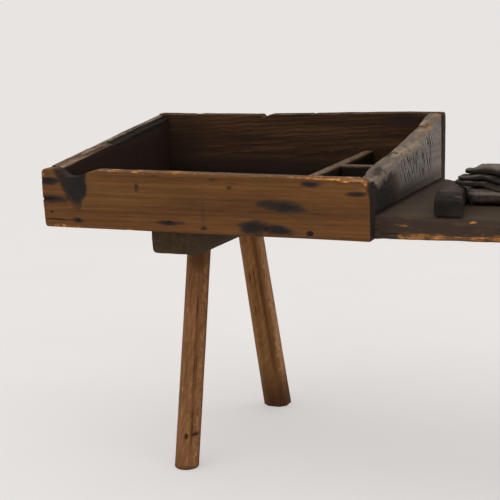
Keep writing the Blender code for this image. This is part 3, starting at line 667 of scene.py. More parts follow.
# Drying checks in the left end: height, length, half width and depth in mm
FRONT_CHECKS = [(79, 16, 2.0, 1.6), (47, 20, 2.6, 2.6), (13.5, 70, 1.3, 2.2)]
CHECK_DEEP = 3
MARK_FRAY = 0.5
# How far the top falls to the right, and how far the left end's foot stands back
FRONT_FALL = 2.5 * MM
FRONT_LEAN = 3.5 * MM
FRONT_LEAN_LEVEL = 62 * MM
FRONT_ROUND = 1.1 * MM
FRONT_TOP_WEAR = ((0, 216, 357, 457, 522, 552, 570), (2.2, 2.2, 3, 4.2, 6, 7.5, 8.5))
FRONT_TOP_CORNER = 9 * MM
FRONT_FOOT_CORNER = 6 * MM
FRONT_RIGHT_CORNER = 2 * MM
SCOOP_MIDDLE = 46 * MM
SCOOP_LEFT = 27 * MM
SCOOP_RIGHT = 54 * MM
SCOOP_DEEP = 13.6 * MM
# The corner broken off the front board's right end
BROKEN_PLACE = 566 * MM
BROKEN_REACH = 12 * MM
BROKEN_DEEP = 6 * MM
# The burn under the scoop: its slanting left side, its upright right side, where that turns in, and its tail
BURN_TOP = 99 * MM
BURN_LEFT_TOP = 19 * MM
BURN_LEFT_SLANT = 0.5
BURN_RIGHT = 79 * MM
BURN_TURN = 58 * MM
BURN_TURN_SLANT = 0.85
BURN_NECK = 69 * MM
BURN_TAIL = 34 * MM
BURN_FRAY = 6


def scoop_burn(along, up, points):
    """How charred each point is under the scoop where hot tools lay."""
    fray = rough_noise(points, (0.014, 0.02, 0.02), 19) * BURN_FRAY * MM
    left = BURN_LEFT_TOP + (BURN_TOP - up) * BURN_LEFT_SLANT
    right = np.maximum(BURN_RIGHT - np.clip(BURN_TURN - up, 0, None) * BURN_TURN_SLANT, BURN_NECK)
    inside = smooth_mm(-9, 8, along - left + fray)
    inside *= 1 - smooth_mm(-5, 4, along - right + fray / 2)
    tail = smooth(BURN_TAIL - 18 * MM, BURN_TAIL + 24 * MM, up + fray)
    streaks = rough_noise(points + up[:, None] * (0.5, 0, 0), (0.006, 0.04, 0.02), 20)
    return inside * tail * (0.88 + 0.3 * streaks)


def front_board(material):
    slab = Slab("front_board", "xzy", (1.3, 1.3, 1.5), (2.1, 1.6, 2.2), (60, 12, 8))
    length, tall, thick = slab.size
    place = slab.along
    along = place - (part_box("bench_plank")[0].x - slab.origin.x)
    scoop = SCOOP_DEEP * bump(along - SCOOP_MIDDLE, np.where(along < SCOOP_MIDDLE, SCOOP_LEFT, SCOOP_RIGHT))
    top = tall - FRONT_FALL * place / length - scoop
    top -= corner_drop(place, FRONT_TOP_CORNER) + BROKEN_DEEP * bump(along - BROKEN_PLACE, BROKEN_REACH)
    top += along_noise(place, 0.05, 3) * 0.2 * MM + along_noise(place, 0.019, 4) * 0.2 * MM - 0.2 * MM
    bottom = corner_drop(place, FRONT_FOOT_CORNER) + corner_drop(length - place, FRONT_RIGHT_CORNER)
    bottom += (along_noise(place, 0.04, 5) + 1) * 0.1 * MM
    slab.shape(bottom, top)
    upper = smooth(0.6 * tall, tall, slab.level)
    front = 1 - smooth(0.3 * thick, 0.6 * thick, slab.through)
    wear = course(FRONT_TOP_WEAR, along) - FRONT_ROUND
    ragged = rough_noise(slab.grid, (0.03, 0.012, 0.012), 8)
    slab.round_off(FRONT_ROUND + upper * front * wear * (1 + 0.35 * ragged) + ragged * 0.4 * MM, 0.6, 11)
    points = slab.points
    up = points[:, 1]
    face = slab.toward("near")
    above = slab.toward("up")
    right_end = slab.toward("right")

    checks = np.zeros(len(points))
    for level, reach, width, deep in FRONT_CHECKS:
        waver = along_noise(along, 0.02, int(level)) * MM
        groove = bump(up - level * MM - waver, width * MM) * (1 - smooth(0.4, 1, along / (reach * MM)))
        checks = np.maximum(checks, groove * deep / CHECK_DEEP)
    depth = weathering(slab, 21)
    depth += dents(slab, 22, 50, (2, 6), 0.5) * face
    depth += checks * CHECK_DEEP * MM * np.maximum(face, slab.toward("left"))
    torn = smooth_mm(425, 460, along)
    torn *= 0.25 + 0.75 * patchy(-0.3, 0.1, points, (0.012, 0.006, 0.006), 16)
    chips = patchy(0.25, 0.7, points, (0.024, 0.006, 0.006), 17) * slab.edge * upper
    depth += chips * (0.5 + 2.2 * torn) * MM
    pits, rust = nail_pits(slab, "near", named("front_nail", 4))
    slab.sink(depth + pits)
    lean = FRONT_LEAN * (1 - np.clip(up / FRONT_LEAN_LEVEL, 0, 1))
    points[:, 0] += lean * (1 - smooth_mm(0, 30, place))

    burn = scoop_burn(along, up, points)
    marks = spots(along, up, FRONT_MARKS, MARK_FRAY) * face
    slab.masks["stain"] = np.maximum.reduce([marks, burn, rust, checks, right_end * 0.85])
    fresh = spots(along, up, FRONT_BARE)
    worn = 0.45 * above * upper + slab.edge * (0.1 + 0.25 * upper) + chips * 0.3
    worn += torn * upper * (0.75 * slab.edge + 0.3 * chips) + fresh * (0.5 + 0.4 * slab.edge)
    slab.masks["worn"] = worn * (1 - 0.85 * burn) * (1 - right_end)
    slab.masks["bare"] = np.maximum(fresh, torn)
    broken = bump(along - BROKEN_PLACE - 2 * MM, 7 * MM) * above * upper
    slab.masks["cut"] = np.maximum(smooth(0.3, 0.9, checks) * 0.8, broken * 0.8)
    stand_for(slab.piece("worn_front_board", material), "front_board")


# Back board: its top, as places from its left end and heights in mm
BACK_TOP = (
    (0, 70, 81, 94, 205, 239, 330, 448, 505, 560, 572),
    (149.9, 149.7, 148.5, 149.9, 150.3, 151.3, 153.1, 156, 157.3, 157.1, 156.5),
)
# Soot on its inner face, and at its left end the painted shadow of the left end board: distance along,
# height, half sizes in mm, and strength
BACK_SOOT_AND_SHADOW = [
    # The mark at 60 mm along is the painted shadow of the left end board
    (500, 142, 44, 15, 0.62), (468, 138, 22, 9, 0.4), (60, 90, 60, 60, 0.45), (180, 106, 70, 7, 0.45),
    (330, 92, 60, 6, 0.35), (440, 78, 90, 16, 0.35),
]
BACK_LEAN = 2 * MM
BACK_CORNER = 3 * MM
BACK_CHIP = 223 * MM
BACK_CHIP_DEEP = 5 * MM
BACK_NICK = 322 * MM
BACK_NICK_DEEP = 1.2 * MM


def back_board(material):
    slab = Slab("back_board", "xzy", (1.8, 1.6, 1.6), (2.4, 2.2, 2.4), (20, 14, 8))
    length, tall, _ = slab.size
    along = slab.along
    top = np.minimum(course(BACK_TOP, along), tall)
    top = top - corner_drop(along, BACK_CORNER) - corner_drop(length - along, BACK_CORNER)
    top -= BACK_CHIP_DEEP * bump(along - BACK_CHIP, np.where(along < BACK_CHIP, 6 * MM, 17 * MM))
    top -= BACK_NICK_DEEP * bump(along - BACK_NICK, 5 * MM)
    top += along_noise(along, 0.03, 13) * 0.25 * MM
    slab.shape((along_noise(along, 0.05, 14) + 1) * 0.3 * MM, top)
    upper = smooth(0.8 * tall, tall, slab.level)
    ragged = rough_noise(slab.grid, (0.03, 0.012, 0.012), 15)
    slab.round_off(1.9 * MM + upper * 0.7 * MM + ragged * 0.9 * MM, 0.8, 5)
    points = slab.points
    inside = slab.toward("near")
    right_end = slab.toward("right")
    knocks = dents(slab, 25, 60, (2, 8), 0.7) * np.abs(slab.out[:, 2])
    chips = patchy(0.25, 0.7, points, (0.03, 0.008, 0.008), 26) * slab.edge * upper
    pits, rust = nail_pits(slab, "far", named("back_nail", 9))
    slab.sink(weathering(slab, 24, 0.2, 0.35) + knocks + chips * MM + pits)
    points[:, 0] -= BACK_LEAN * (1 - points[:, 1] / tall) * smooth(length - 40 * MM, length, along)
    # Soot marks, and the painted shadow of the left end board
    soot = spots(points[:, 0], points[:, 1], BACK_SOOT_AND_SHADOW) * inside
    # Painted shade low on the inner face, where the tray's walls shade it
    low_inner_shade = (1 - smooth_mm(38, 92, points[:, 1])) * 0.75 * inside
    slab.masks["stain"] = np.maximum.reduce([soot, rust, low_inner_shade, right_end * 0.5])
    slab.masks["worn"] = (slab.edge * upper * 0.7 + chips * 0.5) * (1 - right_end)
    stand_for(slab.piece("worn_back_board", material), "back_board")


# Left end board: heights of its top edge above the plank's underside, how far from its front end the inner
# half of that edge has split away behind, and how deep the split and the wear before it go
LEFT_TOP_FRONT = 101 * MM
LEFT_TOP_BACK = 147.3 * MM
LEFT_SPLIT = 176 * MM
LEFT_SPLIT_DEEP = 5 * MM
LEFT_NEAR_WEAR = 2.4 * MM


def above_underside(slab):
    """How far a slab's foot stands above the plank's underside."""
    return slab.origin.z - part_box("bench_plank")[0].z


def left_end_board(material):
    slab = Slab("left_end_board", "yzx", (1.6, 1.6, 1.2), (2.0, 2.2, 1.2), (14, 14, 8))
    length, tall, thick = slab.size
    along = slab.along
    through = slab.through / thick
    top = LEFT_TOP_FRONT - above_underside(slab) + (LEFT_TOP_BACK - LEFT_TOP_FRONT) * along / length
    top += along_noise(along, 0.05, 33) * 0.3 * MM + along_noise(along, 0.017, 34) * 0.2 * MM
    split_place = along + rough_noise(slab.grid, (1, 1, 0.006), 31) * 5 * MM
    split = smooth(LEFT_SPLIT - 3 * MM, LEFT_SPLIT + 3 * MM, split_place)
    ragged = rough_noise(slab.grid * (1, 0, 1), (0.02, 1, 0.01), 32) * 2 * MM
    inner = smooth_mm(10, 14, slab.through + ragged)
    left_over = split * inner
    top -= left_over * LEFT_SPLIT_DEEP + (1 - split) * smooth(0.3, 1.0, through) * LEFT_NEAR_WEAR
    slab.shape(np.zeros(len(along)), np.minimum(top, tall))
    upper = slab.upper(0.75)
    inwards = smooth(0.3, 0.6, through)
    radius = 1.5 * MM + upper * inwards * 2 * MM
    radius += rough_noise(slab.grid, (0.024, 0.012, 0.012), 35) * (0.5 + 0.9 * inwards) * MM
    slab.round_off(radius, 0.7, 6)
    points = slab.points
    above = slab.toward("up")
    cracks = patchy(0.2, 0.6, points, (0.07, 0.02, 0.004), 37, 2) * upper * above
    chips = patchy(0.1, 0.6, points, (0.02, 0.01, 0.01), 38) * slab.edge * upper * inwards
    slab.sink(weathering(slab, 36, 0.22, 0.3) + cracks * 1.4 * MM + chips * 1.4 * MM)
    slab.masks["worn"] = upper * (0.55 * above + 0.4 * slab.edge) * (1 - 0.9 * left_over) + chips * 0.3
    slab.masks["bare"] = 1 - split
    # Painted shade on the face inside the tray, lighter towards the top
    tray_side_shade = 0.6 * slab.toward("far") * (1 - 0.4 * upper)
    slab.masks["stain"] = np.maximum(tray_side_shade, left_over * 0.95 * upper)
    notch = bump(along - LEFT_SPLIT, 7 * MM) * smooth(0.2, 0.6, through)
    torn = bump(inner - 0.5, 0.5) * split
    slab.masks["cut"] = np.maximum(cracks * 0.8, above * (torn * 0.8 + notch * 0.6))
    stand_for(slab.piece("worn_left_end_board", material), "left_end_board")


# Right end board: its inner top edge and its outer one, as places from its front end and heights in mm above
# the plank's underside, and how far the broken outer edge wavers
RIGHT_TOP_PLACES = (0, 16, 28, 46, 92, 116, 172, 257, 331, 388, 408)
RIGHT_TOP_INNER = (91, 96.7, 100, 104.7, 109.4, 111.5, 117.9, 129, 140.3, 153, 157)
RIGHT_TOP_OUTER = (88, 92, 94, 97, 103.5, 106, 113.5, 125.5, 137, 150, 155.5)
RIGHT_ARRIS_WAVER = 8 * MM
RIGHT_TOP_WAVER = 1.3


def right_end_board(material):
    slab = Slab("right_end_board", "yzx", (1.3, 1.3, 1.3), (1.6, 1.6, 1.6), (14, 14, 8))
    length, tall, thick = slab.size
    along = slab.along
    through = slab.through / thick
    base = above_underside(slab)
    places = np.array(RIGHT_TOP_PLACES) * MM * length / (RIGHT_TOP_PLACES[-1] * MM)
    inner = np.interp(along, places, np.array(RIGHT_TOP_INNER) * MM) - base
    outer = np.interp(along, places, np.array(RIGHT_TOP_OUTER) * MM) - base
    broken = rough_noise(slab.grid * (1, 0, 0), (0.034, 1, 1), 41) - 0.25
    outer += broken * RIGHT_ARRIS_WAVER * (1 - smooth(length - 70 * MM, length - 30 * MM, along))
    top = inner + (outer - inner) * smooth(0.25, 1.0, through)
    top += rough_noise(slab.grid * (1, 0, 1), (0.035, 1, 0.02), 43) * RIGHT_TOP_WAVER * MM
    slab.shape(np.zeros(len(along)), np.minimum(top, tall))
    upper = slab.upper(0.72)
    radius = 1.6 * MM + upper * (0.6 + 3.2 * smooth(0.4, 0.8, through)) * MM
    radius += rough_noise(slab.grid, (0.026, 0.014, 0.014), 45) * 1.5 * MM
    slab.round_off(radius * (1 - 0.7 * smooth(length - 60 * MM, length - 20 * MM, along)), 0.8, 8)
    points = slab.points
    up = points[:, 1]
    face = slab.toward("far")
    above = slab.toward("up")
    chips = patchy(0.0, 0.55, points, (0.022, 0.01, 0.01), 47) * upper
    chips *= np.maximum(slab.edge, 0.4 * above)
    nicks = patchy(0.25, 0.65, points, (0.01, 0.02, 0.012), 48, 2) * upper * np.maximum(above, 0.5)
    depth = weathering(slab, 46, 0.2, 0.35) + chips * 2.2 * MM + nicks * 2.2 * MM
    slab.sink(depth + dents(slab, 49, 50, (2, 9), 0.8) * face)

    below_top = top - up
    band = 1 - smooth_mm(4, 13, below_top + rough_noise(points, (0.02, 0.02, 0.02), 44) * 7 * MM)
    arris = bump(through - 0.8, 0.3) * smooth_mm(150, 210, along) * upper
    arris *= patchy(-0.35, 0.1, points, (0.04, 0.02, 0.02), 42)
    worn = np.maximum(band * (0.3 + 0.3 * above), 0.5 * slab.edge * upper) + chips * 0.3
    slab.masks["worn"] = np.maximum(worn, 0.75 * arris)
    patches = patchy(0.05, 0.4, points, (0.05, 0.02, 0.012), 50) * smooth_mm(110, 180, along)
    slab.masks["bare"] = np.maximum(patches * band, arris)
    region = smooth_mm(115, 170, along) * (1 - smooth_mm(325, 370, along))
    slab.masks["scored"] = region * (smooth_mm(16, 32, up) * smooth_mm(6, 14, below_top) * face)
    # The outer face is darker towards its front end and towards its foot
    darker_to_front = 1 - smooth_mm(60, 235, along + up)
    darker_to_foot = (1 - smooth_mm(4, 44, up)) * (0.75 - 0.4 * along / length)
    outer_face_darkening = np.maximum(darker_to_front, darker_to_foot) * face * (1 - 0.6 * band)
    # Painted shade on the inner face inside the tray, darker lower down
    tray_face_shade = slab.toward("near") * (0.85 - 0.4 * upper)
    grime = patchy(0.0, 0.5, points, (0.03, 0.02, 0.014), 40) * band * (1 - face)
    grime *= 0.55 - 0.35 * smooth_mm(120, 260, along)
    slab.masks["stain"] = np.maximum.reduce([outer_face_darkening, tray_face_shade, grime])
    slab.masks["cut"] = nicks * 0.85
    stand_for(slab.piece("scored_right_end_board", material), "right_end_board")


# How far the long divider's back end stands to the left of its front end
DIVIDER_SKEW = 10 * MM


def thin_board(node, axes, material, seed, skew=0.0):
    """A divider or strip in the tray with a rubbed top; skew is how far its back end stands to the left."""
    slab = Slab(node, axes, (1.6, 1.6, 1.6), (2.6, 2, 2))
    length, tall, _ = slab.size
    along = slab.along
    top = tall + along_noise(along, 0.05, seed) * 0.5 * MM + along_noise(along, 0.015, seed + 1) * 0.3 * MM
    slab.shape(np.zeros(len(along)), top - 0.8 * MM)
    upper = slab.upper(0.7)
    ragged = rough_noise(slab.grid, (0.025, 0.01, 0.01), seed + 2)
    slab.round_off(1.2 * MM + upper * 1.4 * MM + ragged * 0.9 * MM, 0.6, 5)
    chips = patchy(0.2, 0.7, slab.points, (0.02, 0.008, 0.008), seed + 3) * slab.edge * upper
    slab.sink(weathering(slab, seed + 4) + chips * 1.1 * MM)
    rubbed = slab.upper(0.8)
    slab.masks["worn"] = rubbed * (0.65 * slab.toward("up") + 0.5 * slab.edge)
    # Painted shade on the sides below the rubbed top, inside the tray's cells
    slab.masks["stain"] = (1 - rubbed) * np.abs(slab.out[:, 2])
    piece = slab.piece("worn_" + node, material)
    for point in piece.data.vertices:
        point.co.x -= skew * (point.co.y - slab.origin.y) / length
    stand_for(piece, node)


# Bare splinters on the plank's front edge: distance from its left end, height, half sizes in mm, strength
PLANK_SPLINTERS = [
    (604, 26, 8, 1.6, 0.7), (616, 24, 9, 1.8, 0.8), (628, 21, 8, 1.4, 0.6), (642, 18, 6, 1.6, 0.5),
    (612, 5, 8, 1.6, 0.9), (628, 6, 12, 1.8, 1.0), (664, 7, 12, 1.4, 0.7), (684, 10, 16, 1.3, 0.6),
    (722, 33, 8, 2.0, 1.0), (700, 9, 14, 1.6, 0.8), (735, 10, 16, 1.6, 0.8), (762, 11, 14, 1.5, 0.8),
    (742, 22, 20, 1.4, 0.4), (820, 30, 26, 2.4, 0.7), (860, 11, 26, 2.2, 0.8), (930, 12, 30, 2.4, 0.7),
    (1010, 11, 34, 2.4, 0.7),
]
# How far the plank's back edge is worn down along the seat, from where the knob by the tray ends
PLANK_BACK_SAG = 3 * MM
KNOB_END = 584 * MM
# The rise of the plank's lower front edge along the seat, as places from its left end and heights in mm
PLANK_RISE = ((560, 578, 657, 704, 749, 1137), (0, 0.5, 1.2, 2.0, 2.7, 3.3))
PLANK_CORNER = 30 * MM
# The hollow worn by sitting: its middle along and across the plank, its reach, stretch and depth
SEAT_HOLLOW = (0.87, 0.2)
SEAT_HOLLOW_REACH = 0.2
SEAT_HOLLOW_STRETCH = 1.5
SEAT_HOLLOW_DEEP = 1.6 * MM


def bench_plank(material):
    slab = Slab("bench_plank", "xzy", (1.8, 1.6, 1.6), (4.2, 1.8, 4.4), (16, 12, 26))
    length, thick, deep = slab.size
    along = slab.along
    across = slab.through
    seat = smooth_mm(572, 582, along)
    front = 1 - smooth_mm(16, 50, across)
    back = smooth(deep - 60 * MM, deep - 20 * MM, across)
    top_share = slab.upper(0.3, 0.7)
    ragged = (rough_noise(slab.grid * (1, 0, 0), (0.03, 1, 1), 51) + 0.7) * 0.5 * MM
    bottom = (course(PLANK_RISE, along) + ragged) * seat * (front + 0.6 * back)
    slab.shape(bottom, np.full(len(along), thick))
    wear = 2.5 * MM + seat * (front * (1.5 + 8 * top_share) + back * (2 + 9 * top_share)) * MM
    wear += rough_noise(slab.grid, (0.05, 0.02, 0.02), 52) * (0.6 + 2.2 * seat * front) * MM
    slab.round_off(wear, 1, 15)
    points = slab.points
    up = points[:, 1]
    above = slab.toward("up")
    side = np.abs(slab.out[:, 2])
    far = np.hypot((along - SEAT_HOLLOW[0]) / SEAT_HOLLOW_STRETCH, across - SEAT_HOLLOW[1])
    hollow = SEAT_HOLLOW_DEEP * seat * bump(far, SEAT_HOLLOW_REACH) * above
    sunk = weathering(slab, 53, 0.25, 0.5) + hollow
    knocks = dents(slab, 54, 110, (3, 12), 1.0, (0, 2)) * np.abs(slab.out[:, 1])
    torn = spots(along, up, PLANK_SPLINTERS) * side
    splits = patchy(0.35, 0.7, points, (0.12, 0.005, 0.02), 55, 2) * side * seat
    chips = patchy(0.1, 0.6, points, (0.03, 0.01, 0.012), 56) * slab.edge * seat
    slab.sink(sunk + knocks + torn * 1.3 * MM + splits * 1.2 * MM + chips * 1.8 * MM)
    corner = corner_drop(across, PLANK_CORNER) + corner_drop(deep - across, PLANK_CORNER)
    points[:, 0] -= corner * smooth(length - 60 * MM, length, points[:, 0])
    sag = smooth(deep - 40 * MM, deep, across) * smooth(KNOB_END, KNOB_END + 12 * MM, along) * top_share
    points[:, 1] -= PLANK_BACK_SAG * sag

    rust = patchy(0.1, 0.5, points, (0.05, 0.012, 0.02), 59) * seat * side
    slivers = patchy(0.1, 0.6, points, (0.024, 0.004, 0.02), 57) * seat * side * (1 - smooth_mm(6, 13, up))
    band = 1 - smooth_mm(9, 20, up)
    gilt = (0.5 + 0.25 * rough_noise(points, (0.05, 0.012, 0.02), 58)) * band * np.maximum(side, slab.edge)
    gilt *= smooth_mm(588, 612, along)
    worn = [torn, slivers * 0.6, gilt, 0.2 * slab.edge * seat, 0.36 * rust]
    slab.masks["worn"] = np.maximum.reduce(worn)
    # Painted shade on the plank's top inside the tray, between its walls
    tray_floor_shade = (1 - seat) * above * 0.9
    cleared = np.clip(np.maximum.reduce([torn, slivers, 1.6 * gilt - 0.2, 0.5 * rust]), 0, 1)
    slab.masks["stain"] = np.maximum(tray_floor_shade, 0.5 * smooth(0.5, 0.9, side) * seat * (1 - cleared))
    slab.masks["cut"] = splits * 0.6
    piece = slab.piece("worn_bench_plank", material)
    for name in LEGS:
        carve(piece, tenon_socket(name))
    stand_for(piece, "bench_plank")


BATTEN_CORNER = 9 * MM


def cross_batten(end, material, seed):
    """The batten under one end of the plank, rough from the saw, with the holes for its two legs."""
    node = end + "_batten"
    slab = Slab(node, "yzx", (1.6, 1.6, 1.2), (2.8, 2, 1.2))
    _, thick, width = slab.size
    across = slab.through
    bottom = corner_drop(across, BATTEN_CORNER) + corner_drop(width - across, BATTEN_CORNER)
    slab.shape(bottom, np.full(len(across), thick))
    under = 1 - slab.upper(0, 0.5)
    ragged = rough_noise(slab.grid, (0.03, 0.015, 0.015), seed)
    slab.round_off(1.4 * MM + under * 1.6 * MM + ragged * 0.9 * MM, 0.8, 10)
    points = slab.points
    ends = np.abs(slab.out[:, 0])
    saw = (noise(points, (0.08, 0.09, 0.003), seed + 1) + 1) * 0.25 * MM
    slab.sink(weathering(slab, seed + 3, 0.15, 0.4) + saw * (ends + 0.4))
    slab.masks["worn"] = slab.edge * 0.35
    slab.masks["stain"] = 0.25 * patchy(0.0, 0.6, points, (0.05, 0.03, 0.03), seed + 4)
    slab.masks["cut"] = smooth(0.2, 0.8, noise(points, (0.08, 0.05, 0.003), seed + 1)) * 0.3 * ends
    piece = slab.piece("sawn_" + node, material)
    for leg in (end + "_front", end + "_back"):
        carve(piece, tenon_socket(leg))
    stand_for(piece, node)


# The legs' shared sizes
LEG_AROUND = 96
LEG_RINGS = 92
FOOT_RINGS = 10
FOOT_FINE = 12 * MM
TENON_RINGS = 14
SOCKET_AROUND = 48
SOCKET_LEVEL = 415 * MM
SHOULDER_LEVEL = 367.4 * MM
TENON_TOP = 453.2 * MM
TENON_RADIUS = 16.5 * MM
SOCKET_GAP = 0.3 * MM
SOCKET_PAST = 20 * MM
WEDGE_THICK = 5.5 * MM
WEDGE_POINT = 2.5 * MM
WEDGE_DEPTH = 24 * MM
# Shares of the radius at which the flat ends have rings of points
END_RINGS = (0.35, 0.7)

# Each leg: foot and socket places, widths at foot and shoulder, corner cut, edge crispness, foot rounding
Leg = namedtuple("Leg", "foot socket widths cut crisp foot_round")
LEGS = {
    "tray_front": Leg((-340.2, -188), (-339, -99), (43, 42), 13, 9, 3),
    "tray_back": Leg((-320, 188), (-339, 99), (49.5, 44.5), 12, 26, 1.2),
    "seat_front": Leg((391, -188), (375, -99), (44, 41), 13, 11, 5),
    "seat_back": Leg((387, 188), (375, 99), (48, 44), 12, 20, 4),
}
# Drying cracks in each leg: angle in degrees, lowest and highest point, half width and depth in mm
LEG_CRACKS = {
    "tray_front": [
        (-52, 15, 352, 1.8, 1.9), (-58, 120, 345, 1.3, 1.1), (-44, 10, 240, 1.3, 1.0),
        (60, 40, 300, 1.5, 1.6),
    ],
    "tray_back": [(-104, 30, 330, 1.0, 0.9), (-84, 120, 350, 1.0, 0.7), (100, 60, 330, 1.5, 1.6)],
    "seat_front": [(-95, 40, 320, 1.5, 1.7), (-30, 90, 350, 1.2, 1.0), (140, 30, 260, 1.5, 1.6)],
    "seat_back": [(80, 40, 340, 1.5, 1.8), (-100, 20, 240, 1.2, 1.2), (10, 150, 350, 1.2, 1.0)],
}
# Dark marks on each leg, some of them painted shade: angle in degrees, height, half width and half height in
# mm, and strength
LEG_MARKS = {
    "tray_front": [
        # The mark at 350 mm, just under the batten, is painted shade
        (-78, 57, 3.4, 5, 0.95), (-30, 60, 9, 3, 0.9), (-55, 180, 3.6, 190, 0.3), (-60, 350, 24, 26, 0.4),
    ],
    # On the back tray leg the streaks at -58 and -56 degrees are painted shade beside its lit facet
    "tray_back": [(-58, 220, 5, 260, 0.4), (-56, 110, 6, 130, 0.38), (-60, 0, 200, 83, 0.5)],
    # The seat front leg's mark at 340 mm, just under the batten, is painted shade
    "seat_front": [(-70, 60, 5, 6, 0.7), (-50, 340, 24, 36, 0.3), (-60, 4, 50, 9, 0.5)],
    "seat_back": [(-80, 200, 5, 160, 0.5), (90, 6, 60, 14, 0.7)],
}
# The side of a leg painted paler where light falls on it: angle and half width in degrees, and strength
LEG_LIT_SIDE = {"tray_front": (-22, 38, 0.55), "tray_back": (-8, 46, 1.0)}
NOT_LIT = (0, 1, 0)


def leg_middle(name, level):
    """The middle of a leg, or of its tenon, at each level."""
    foot = np.array(LEGS[name].foot) * MM
    socket = np.array(LEGS[name].socket) * MM
    share = np.atleast_1d(level)[:, None] / SOCKET_LEVEL
    return foot + (socket - foot) * share


def ring_at(name, level, plan):
    """A ring of points in plan, put round a leg's middle at one level."""
    return np.column_stack([leg_middle(name, level) + plan, np.full(len(plan), level)])


def unit_circle(around):
    turn = np.linspace(0, math.tau, around, endpoint=False)
    return np.stack([np.cos(turn), np.sin(turn)], 1)


def leg_section(name, levels, turn, seed):
    """How far a leg's hewn faces stand from its middle all round each level, and nearness to its edges."""
    leg = LEGS[name]
    half = (leg.widths[0] + (leg.widths[1] - leg.widths[0]) * levels / SHOULDER_LEVEL) / 2 * MM
    reach = np.zeros((len(levels), len(turn)))
    shares = []
    for face in range(8):
        out = half if face % 2 == 0 else (2 * half - leg.cut * MM) / math.sqrt(2)
        waver = 0.01 * (along_noise(levels, 0.09, seed + face) + 1)
        waver += 0.005 * (along_noise(levels, 0.03, seed + face) + 1)
        toward = np.clip(np.cos(turn - face * math.pi / 4), 0, 1)
        shares.append((toward[None, :] / (out * (1 - waver))[:, None]) ** leg.crisp)
        reach += shares[-1]
    edge = np.clip((1 - np.max(shares, axis=0) / reach) * 2, 0, 1)
    return reach ** (-1 / leg.crisp), edge


def hewn_leg(name, material, seed):
    """A leg with wavering hewn faces, drying cracks and a worn foot, and its tenon through the plank."""
    foot_levels = np.linspace(0, FOOT_FINE, FOOT_RINGS + 1)[:-1]
    levels = np.concatenate([foot_levels, np.linspace(FOOT_FINE, SHOULDER_LEVEL, LEG_RINGS)])
    turn = np.linspace(0, math.tau, LEG_AROUND, endpoint=False)
    reach, edge = leg_section(name, levels, turn, seed)
    reach = reach.ravel()
    angles = np.tile(turn, len(levels))
    heights = np.repeat(levels, LEG_AROUND)

    def swing(angle):
        """How far each point lies round the leg from an angle in degrees."""
        return (angles - math.radians(angle) + math.pi) % math.tau - math.pi

    around = np.stack([reach * np.cos(angles), reach * np.sin(angles), heights], 1)
    sunk = (rough_noise(around, (0.02, 0.02, 0.055), seed + 20) + 0.7) * 0.25 * MM
    sunk += (rough_noise(around, (0.0045, 0.0045, 0.08), seed + 21, 2) + 0.7) * 0.2 * MM
    crack = np.zeros(len(around))
    for angle, low, high, width, deep in LEG_CRACKS[name]:
        waver = along_noise(heights, 0.08, seed + high) * 2 * MM
        waver += along_noise(heights, 0.02, seed + 5) * 0.5 * MM
        length = smooth_mm(low, low + 50, heights) * (1 - smooth_mm(high - 60, high, heights))
        length *= 0.55 + 0.45 * along_noise(heights, 0.03, seed + 9)
        groove = bump(swing(angle) * reach - waver, width * MM) * length
        crack = np.maximum(crack, groove)
        sunk += groove * deep * MM
    stain = 0.4 * (1 - smooth_mm(1, 13, heights))
    for angle, level, half_width, half_height, strength in LEG_MARKS[name]:
        sideways = swing(angle) * reach / (half_width * MM)
        far = np.hypot(sideways, (heights - level * MM) / (half_height * MM))
        stain = np.maximum(stain, bump(far, MARK_SPREAD) * strength)
    reach = reach - sunk - corner_drop(heights, LEGS[name].foot_round * MM)

    circle = unit_circle(LEG_AROUND)
    rings = []
    for level, own in zip(levels, reach.reshape(-1, LEG_AROUND)):
        rings.append(ring_at(name, level, circle * own[:, None]))
    foot = leg_middle(name, 0)[0]
    under = [rings[0] * (share, share, 1) + np.append(foot * (1 - share), 0) for share in END_RINGS]
    tenon = []
    for level in np.linspace(SHOULDER_LEVEL, TENON_TOP, TENON_RINGS):
        tenon.append(ring_at(name, level, circle * TENON_RADIUS))
    for share in reversed(END_RINGS):
        tenon.append(ring_at(name, TENON_TOP, circle * TENON_RADIUS * share))
    whole = under + rings + tenon

    def whole_mask(values, below, above):
        spare = np.full(len(under) * LEG_AROUND, below)
        return np.concatenate([spare, values, np.full(len(tenon) * LEG_AROUND, above)])

    # Painted light: the lit side of the leg goes into the worn mask
    angle, half_width, strength = LEG_LIT_SIDE.get(name, NOT_LIT)
    pale = bump(swing(angle), math.radians(half_width)) * strength
    masks = {
        "worn": whole_mask(np.maximum(edge.ravel() * 0.5, pale), 0.0, 0.2),
        "stain": whole_mask(np.maximum(stain, crack * 0.6), 0.7, 0.6),
        "cut": whole_mask(smooth(0.25, 0.9, crack) * 0.5, 0.0, 0.0),
    }
    faces = closed_rings(len(whole), LEG_AROUND)
    piece = mesh_piece("hewn_" + name + "_leg", np.concatenate(whole), faces, material, masks)
    carve(piece, wedge_slot(name))
    stand_for(piece, name + "_leg")


def wedge_slot(name):
    """The slot that a wedge has opened in a tenon's top."""
    rings = []
    for level in (TENON_TOP - WEDGE_DEPTH - SOCKET_GAP, TENON_TOP + 3 * MM):
        share = (TENON_TOP - level) / WEDGE_DEPTH
        thick = (WEDGE_THICK + (WEDGE_POINT - WEDGE_THICK) * share) / 2 + SOCKET_GAP
        wide = TENON_RADIUS + 4 * MM
        corners = np.array([(-wide, -thick), (wide, -thick), (wide, thick), (-wide, thick)])
        rings.append(ring_at(name, level, corners))
    return mesh_piece("wedge_slot", np.concatenate(rings), closed_rings(2, 4))


def tenon_socket(name):
    """The hole that a leg's tenon goes through."""
    circle = unit_circle(SOCKET_AROUND) * (TENON_RADIUS + SOCKET_GAP)
    levels = (SHOULDER_LEVEL - SOCKET_PAST, TENON_TOP + SOCKET_PAST)
    rings = [ring_at(name, level, circle) for level in levels]
    return mesh_piece("tenon_socket", np.concatenate(rings), closed_rings(2, SOCKET_AROUND))


